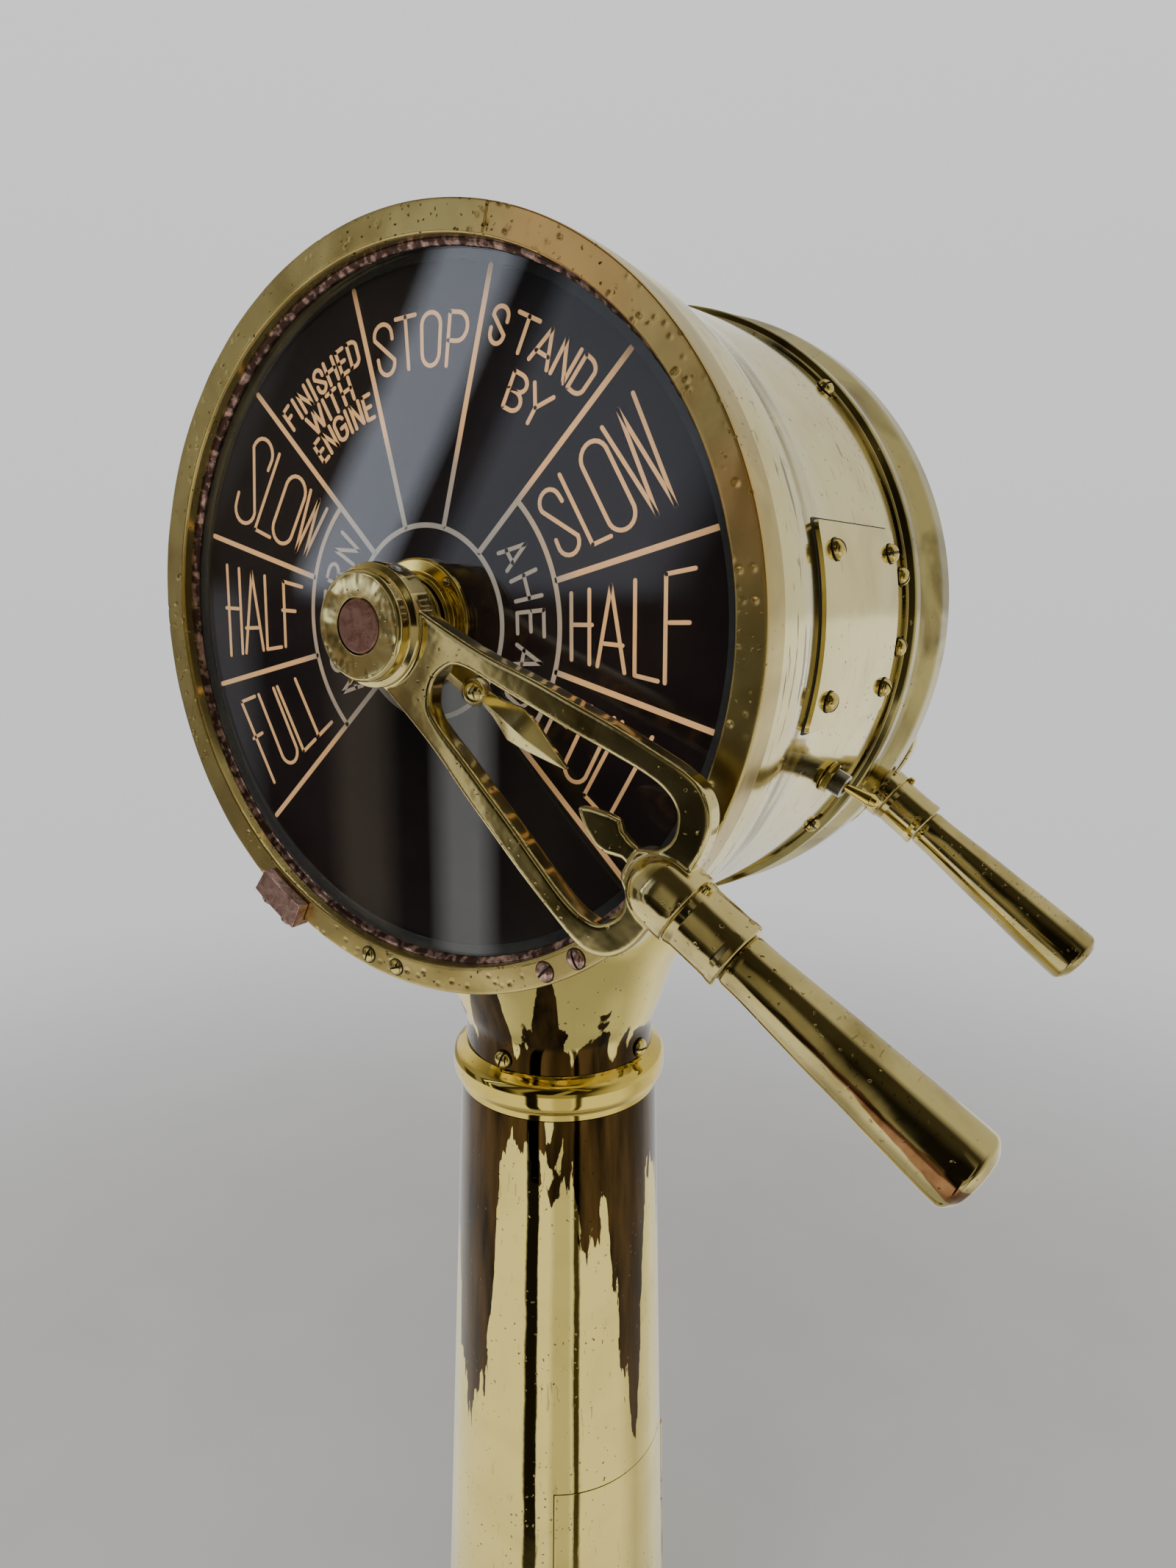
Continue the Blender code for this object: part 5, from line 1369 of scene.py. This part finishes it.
def hinge_matrix():
    """The hinge's axis: outside the column's surface and parallel to it."""
    middle = (DOOR_TOP + DOOR_BOTTOM) / 2
    side = outward(DOOR_HINGE)
    up = (Vector((0, 0, 1)) - side * COLUMN_SLOPE).normalized()
    across = side.cross(up).normalized()
    spot = side * (column_radius(middle) + HINGE_OFFSET) * MM + Vector((0, 0, middle * MM))
    return axes_at(spot, across, up.cross(across), up)


def knuckle_shape(side, low, high):
    """A hinge knuckle with its leaf. side is -1 on the column and +1 on the door."""
    leaf_bottom = -(HINGE_OFFSET + 2.6)
    start = math.degrees(math.asin(LEAF_FACE / KNUCKLE_R))
    end = 360 - math.degrees(math.acos(0.6 / KNUCKLE_R))
    outline = arc(KNUCKLE_R, start, end, 30) + [(0.6, leaf_bottom), (16, leaf_bottom), (16, LEAF_FACE)]
    barrel = prism_shape([(side * x, y) for x, y in outline], low, high)
    return boolean(barrel, [rod_shape(2.6, -200, 200)])


def make_column():
    hinge = hinge_matrix()
    top, bottom = column_high.z / MM, column_low.z / MM
    profile = [
        (column_radius(top) - 0.4, top), (column_radius(top), top - 0.5), (column_radius(bottom), bottom),
        (column_radius(bottom) - COLUMN_WALL, bottom), (column_radius(top) - COLUMN_WALL, top),
    ]
    tube = turned_shape(profile, 192)
    tube = boolean(tube, [wall_shape(DOOR_FRONT, DOOR_HINGE, DOOR_BOTTOM, DOOR_TOP, 8, -12)])
    fixed = merged([moved(knuckle_shape(-1, low, high), hinge) for low, high in ((-95, -50.6), (50.6, 95))])
    show("column_wall", tube, COLUMN, UPRIGHT, replaced=["column_tube"])
    show("fixed_knuckles", fixed, CAST, UPRIGHT)
    slack = DOOR_GAP / column_radius(DOOR_TOP)
    low, high = DOOR_BOTTOM + DOOR_GAP, DOOR_TOP - DOOR_GAP
    leaf = wall_shape(DOOR_FRONT + slack, DOOR_HINGE - slack, low, high, 0.15, -4)
    show("column_door", soften(leaf, 0.35, 2, 60), COLUMN, UPRIGHT, replaced=["access_door"], body="door")
    show("door_knuckle", moved(knuckle_shape(1, -50, 50), hinge), CAST, UPRIGHT, body="door")
    head = slotted_screw("hinge_screw_head", 2.6, 1.0, 0.1, 0.6, 0.6)
    places = [(-1, height, "casing") for height in (-84, -62, 62, 84)]
    places += [(1, height, "door") for height in (-34, 0, 34)]
    for index, (side, height, body) in enumerate(places):
        spot = Vector((side * 10.8, LEAF_FACE, height)) * MM
        seat = hinge @ Matrix.Translation(spot) @ Matrix.Rotation(-QUARTER, 4, "X")
        screw(f"hinge_screw_{index + 1}", head, SCREW_BRASS, seat, 17 + 41 * index, body=body)
    pin = rounded([(0, 98.2), (3.6, 98, 1.2), (3.6, 95.3, 0.3), (2.3, 95.3), (2.3, -97.4), (0, -98)])
    show("hinge_pin", moved(turned_shape(pin, 32), hinge), STEEL, UPRIGHT, ["door_hinge_pin"])
    make_latch()


def make_latch():
    """The turn button on the door, with a bar to grip and a tongue behind the wall."""
    knob = rounded([
        (0, 9), (6.4, 8.9, 1.2), (8.5, 7.4, 1.2), (8.5, 3.4, 1.4), (5.6, 1, 0.5), (2.9, 1), (2.9, -10.5),
        (0, -10.5),
    ])
    bar = soften(box_shape((-1.6, -8, 7), (1.6, 8, 11.6)), 1.0, 3)
    tongue = soften(box_shape((-4, -4, -10.6), (4, 17, -8.6)), 0.4, 2)
    middle = (DOOR_TOP + DOOR_BOTTOM) / 2
    seat = seat_on_column(math.radians(42), column_radius(middle) * MM, middle * MM)
    button = merged([turned_shape(knob, 48), bar, tongue])
    show("latch_button", button, CAST, seat, ["door_latch"], "latch")


NECK_SCREW_R = 52.8
NECK_SCREW_Z = 771


def make_collar():
    """The beaded ring between head and column, and the four screws above it."""
    profile = rounded([
        (45.2, 790), (48.2, 790), (48.2, 765.7), (52.6, 765.7, 0.6), (54.4, 764.6, 1.6), (59.8, 760.6, 8),
        (59.8, 748.6, 8), (55.9, 745.6, 2), (55.8, 742), (50.4, 742), (50.4, 726), (45.2, 726),
    ], 7)
    show("neck_collar", turned_shape(profile, 192), COLLAR, UPRIGHT, ["collar_ring"])
    head = slotted_screw("neck_screw_head", 4.85, 2.9, 0.5, 1.2, 1.5)
    for index, turn in enumerate((70, -8, 33, 120)):
        seat = seat_on_column(index * QUARTER, NECK_SCREW_R * MM, NECK_SCREW_Z * MM)
        screw(f"neck_screw_head_{index + 1}", head, SCREW_BRASS, seat, turn,
              [f"neck_screw_{index + 1}"])


BOLT_CIRCLE_R = 137
BOLT_SEAT_Z = 19.1


def make_base():
    """The foot, its sole plate and the deck bolts."""
    foot = turned_shape(rounded([
        (72.8, 89.6, 0.8), (72.8, 72), (86.5, 72, 1.2), (88.8, 68.5, 2), (88.8, 64, 2), (86, 59, 3),
        (88.5, 46, 14), (98, 32, 16), (113, 22.4, 12), (124, 19.2, 4), (148.6, 19, 1.4), (150, 17.2, 1),
        (150, 6.3), (124, 6.3), (110, 13), (90, 25), (76, 48), (67.5, 89.6),
    ], 5), 192)
    spots = [outward(2 * math.pi * (i + 0.5) / 6) * BOLT_CIRCLE_R * MM for i in range(6)]
    foot = boolean(foot, bolt_holes(spots))
    show("foot_casting", foot, CAST, UPRIGHT, ["base_flange"])
    plate = turned_shape(rounded([(0, 6), (149.6, 6, 0.8), (150, 0.2, 0.8), (149, 0), (0, 0)]), 192)
    plate = boolean(plate, bolt_holes(spots) + chain_slots())
    show("sole_disc", plate, PAINT, UPRIGHT, ["sole_plate"])
    cap = turned_shape([(0, -10), (11, -10), (11, 5.2), (8.4, 7), (0, 7)], 48)
    bolt = boolean(hexagon_shape(9.5, 0.4, 0, 7), [cap], "INTERSECT")
    shank = rod_shape(4.7, 0.5, -18.6)
    washer = turned_shape(rounded([(0, 0.9), (11.4, 0.9, 0.3), (11.4, -0.1), (0, -0.1)]), 48)
    bolt = merged([moved(bolt, Matrix.Translation((0, 0, 0.5 * MM))), shank, washer])
    mesh = finish_mesh(bolt, "deck_bolt_head", 25)
    for index, spot in enumerate(spots):
        seat = Matrix.Translation(spot + Vector((0, 0, BOLT_SEAT_Z * MM)))
        seat = seat @ Matrix.Rotation(0.5 * index, 4, "Z")
        show(f"deck_bolt_head_{index + 1}", mesh, STEEL, seat, [f"deck_bolt_{index + 1}"])


def bolt_holes(spots):
    return [moved(rod_shape(5.3, -5, 30), Matrix.Translation(spot)) for spot in spots]


def chain_slots():
    """Openings in the sole plate under both chains."""
    slots = []
    for chain_name in ("order_chain", "reply_chain"):
        low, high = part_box(chain_name)
        middle = (low.y + high.y) / 2 / MM
        for edge in (low.x / MM + 3, high.x / MM - 3):
            slots.append(box_shape((edge - 4.4, middle - 5, -5), (edge + 4.4, middle + 5, 15)))
    return slots


# Works inside the head: the CAD shapes stay and get a finished surface

INSIDE = {
    TURNED_STEEL: ("order_sprocket", "reply_sprocket", "detent_wheel"),
    STEEL: ("order_chain", "reply_chain", "detent_plunger", "bell_hammer", "reply_layshaft"),
    CAST: ("inner_frame", "reply_sleeve_front", "reply_sleeve_rear"),
    GOLD: ("bell_gong",),
    PAINT: ("lamp_holder",),
    BULB: ("lamp_bulb",),
}


def finish_inside():
    for material, names in INSIDE.items():
        for name in names:
            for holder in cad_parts[name].material_slots:
                holder.material = material


# Stage

def make_floor():
    material, tree, shader = new_material("studio_floor")
    speckle = ramp(tree, noise_field(tree, 6, 4.0), [(0.3, (0.66, 0.66, 0.68)), (0.7, (0.70, 0.70, 0.72))])
    coat(tree, shader, speckle, 0.85)
    radius = add(tree, "VectorMath", {0: own_place(tree)}, operation="LENGTH").outputs["Value"]
    fade = ramp(tree, math_node(tree, "DIVIDE", radius, 3.0), [(0.25, 1.0), (0.95, 0.0)], "EASE")
    link(tree, fade, shader, "Alpha")
    shape = bmesh.new()
    bmesh.ops.create_circle(shape, cap_ends=True, radius=3.0, segments=96)
    bmesh.ops.translate(shape, vec=(0, 0, -0.0002), verts=shape.verts)
    floor = new_object("floor", as_mesh(shape, "floor"))
    floor.visible_glossy = False
    floor.data.materials.append(material)


def make_world():
    """A pale studio room. Dark posts and openings in it give the polished brass something to reflect."""
    world = bpy.data.worlds.new("studio")
    bpy.context.scene.world = world
    world.use_nodes = True
    tree = world.node_tree
    tree.nodes.clear()
    x, y, rise = split(tree, add(tree, "TexCoord").outputs["Generated"])
    around = bearing(tree, x, y)
    lean = times(tree, math_node(tree, "MAXIMUM", rise, 0.0), ROOM_LEAN / 360)
    height = plus(tree, times(tree, rise, 0.5), 0.5)
    level = azimuth_ramp(tree, plus(tree, around, lean), ROOM)
    lower = azimuth_ramp(tree, around, ROOM_BELOW)
    near_floor = azimuth_ramp(tree, around, ROOM_FLOOR)
    ceiling = azimuth_ramp(tree, around, ROOM_CEILING)
    light = mix_colour(tree, ramp(tree, height, BELOW_EYE_LEVEL, "EASE"), level, lower)
    light = mix_colour(tree, ramp(tree, height, LOW_DOWN, "EASE"), light, near_floor)
    light = mix_colour(tree, ramp(tree, height, OVERHEAD, "EASE"), light, ceiling)
    light = mix_colour(tree, ramp(tree, height, UNDERFOOT, "EASE"), light, GROUND)
    lit = add(tree, "VectorMath", {0: light, "Scale": ROOM_LEVEL}, operation="SCALE").outputs[0]
    backdrop = ramp(tree, height, [(0.2, (0.80, 0.80, 0.83)), (0.75, (0.98, 0.98, 1.0))])
    seen = add(tree, "LightPath").outputs["Is Camera Ray"]
    shown = mix_colour(tree, seen, lit, backdrop)
    background = add(tree, "Background", {"Color": shown, "Strength": 1.0})
    output = add(tree, "OutputWorld")
    tree.links.new(background.outputs[0], output.inputs["Surface"])


# Shares of the room's zones over the height of the sky, 0 at the nadir and 1 at the zenith
BELOW_EYE_LEVEL = [(0.485, 1.0), (0.50, 0.0)]
LOW_DOWN = [(0.29, 1.0), (0.33, 0.0)]
OVERHEAD = [(0.70, 0.0), (0.86, 1.0)]
UNDERFOOT = [(0.06, 1.0), (0.16, 0.0)]
ROOM_LEVEL = 1.15
ROOM_LEAN = -27         # how far the room's posts lean above eye level, in degrees of azimuth
GROUND = (0.42, 0.42, 0.40)
WALL = (0.60, 0.60, 0.60)
PALE = (1.0, 1.0, 0.97)
SIDE = (0.64, 0.63, 0.57)
OCHRE = (0.34, 0.32, 0.24)
GREY = (0.30, 0.30, 0.32)
SLATE = (0.43, 0.46, 0.53)
UMBER = (0.25, 0.20, 0.15)
DARK = (0.010, 0.009, 0.008)
DUSK = (0.055, 0.048, 0.032)
STRIP = (1.5, 1.62, 1.85)
ROOM = [        # what stands round the object above eye level, in degrees from the camera's side towards +X
    (-180, WALL), (-150, PALE), (-122, OCHRE), (-101, GREY), (-89, GREY), (-88, DUSK), (-82.5, DUSK),
    (-82, STRIP), (-78, STRIP), (-77.5, DARK), (-76, DARK), (-75.5, SLATE), (-64, SLATE), (-61, DARK),
    (-54, DUSK), (-44, OCHRE), (-38, OCHRE), (-34.5, DARK), (-8, DARK), (-6, OCHRE), (2, OCHRE), (4, DARK),
    (30, DUSK), (44, OCHRE), (62, SIDE), (150, SIDE), (165, PALE), (180, WALL),
]
ROOM_BELOW = [  # the same below eye level
    (-180, WALL), (-140, OCHRE), (-118, OCHRE), (-112, DUSK), (-96, DUSK), (-95, GREY), (-86, GREY),
    (-84.5, DARK), (-81.6, DARK), (-81.2, UMBER), (-78.4, UMBER), (-78, DARK), (-75, DARK), (-74.5, PALE),
    (-72.6, PALE), (-72, DARK), (-69, DUSK), (-67, DARK), (-59, DARK), (-50, DUSK), (-40, OCHRE),
    (-34.5, DARK), (-22.5, DARK), (-21, OCHRE), (16, OCHRE), (17.5, DUSK), (25, DUSK), (40, OCHRE),
    (62, SIDE), (140, PALE), (180, WALL),
]
ROOM_FLOOR = [  # the same low down, which the column shows
    (-180, WALL), (-140, PALE), (-50, PALE), (-36, PALE), (-35, DARK), (-22.5, DARK), (-21.5, PALE),
    (-10, PALE), (-4, SIDE), (12, SIDE), (16.5, PALE), (17.5, DUSK), (23.5, DUSK), (24.5, PALE), (70, PALE),
    (92, SIDE), (130, PALE), (180, WALL),
]
ROOM_CEILING = [
    (-180, OCHRE), (-130, OCHRE), (-70, DUSK), (30, DUSK), (60, SIDE), (150, SIDE), (180, OCHRE),
]


def area_light(name, spot, aim, width, height, power):
    data = bpy.data.lights.new(name, "AREA")
    data.shape = "RECTANGLE"
    data.size = width
    data.size_y = height
    data.energy = power
    lamp = new_object(name, data)
    lamp.location = spot
    lamp.rotation_euler = (Vector(aim) - Vector(spot)).to_track_quat("-Z", "Y").to_euler()
    lamp.visible_glossy = False


def make_camera():
    data = bpy.data.cameras.new("camera")
    data.sensor_width = 36
    data.lens = CAMERA_LENS
    camera = new_object("camera", data)
    right = Vector((math.cos(CAMERA_YAW), math.sin(CAMERA_YAW), 0))
    ahead = Vector((
        -math.sin(CAMERA_YAW) * math.cos(CAMERA_PITCH), math.cos(CAMERA_YAW) * math.cos(CAMERA_PITCH),
        -math.sin(CAMERA_PITCH),
    ))
    up = right.cross(ahead)
    across = right * math.cos(CAMERA_ROLL) + up * math.sin(CAMERA_ROLL)
    over = up * math.cos(CAMERA_ROLL) - right * math.sin(CAMERA_ROLL)
    camera.matrix_world = axes_at(Vector((0, 0, SHAFT_Z)) + CAMERA_OFFSET, across, over, -ahead)
    bpy.context.scene.camera = camera


make_camera()
make_bezel()
make_rear_ring()
make_drum()
make_cover()
make_rear_joint_screws()
make_bezel_screws()
make_clamp()
for face_name, face_matrix, ahead_side in (("front", FRONT, 1), ("rear", REAR, -1)):
    make_glazing(face_name, face_matrix)
    make_lettering(face_name, face_matrix, ahead_side)
make_levers()
make_pointers()
make_switch()
make_column()
make_collar()
make_base()
finish_inside()
make_floor()
make_world()
area_light("soft_top", (0.5, -0.9, 2.6), (0, 0, 0.9), 1.6, 1.6, 40)
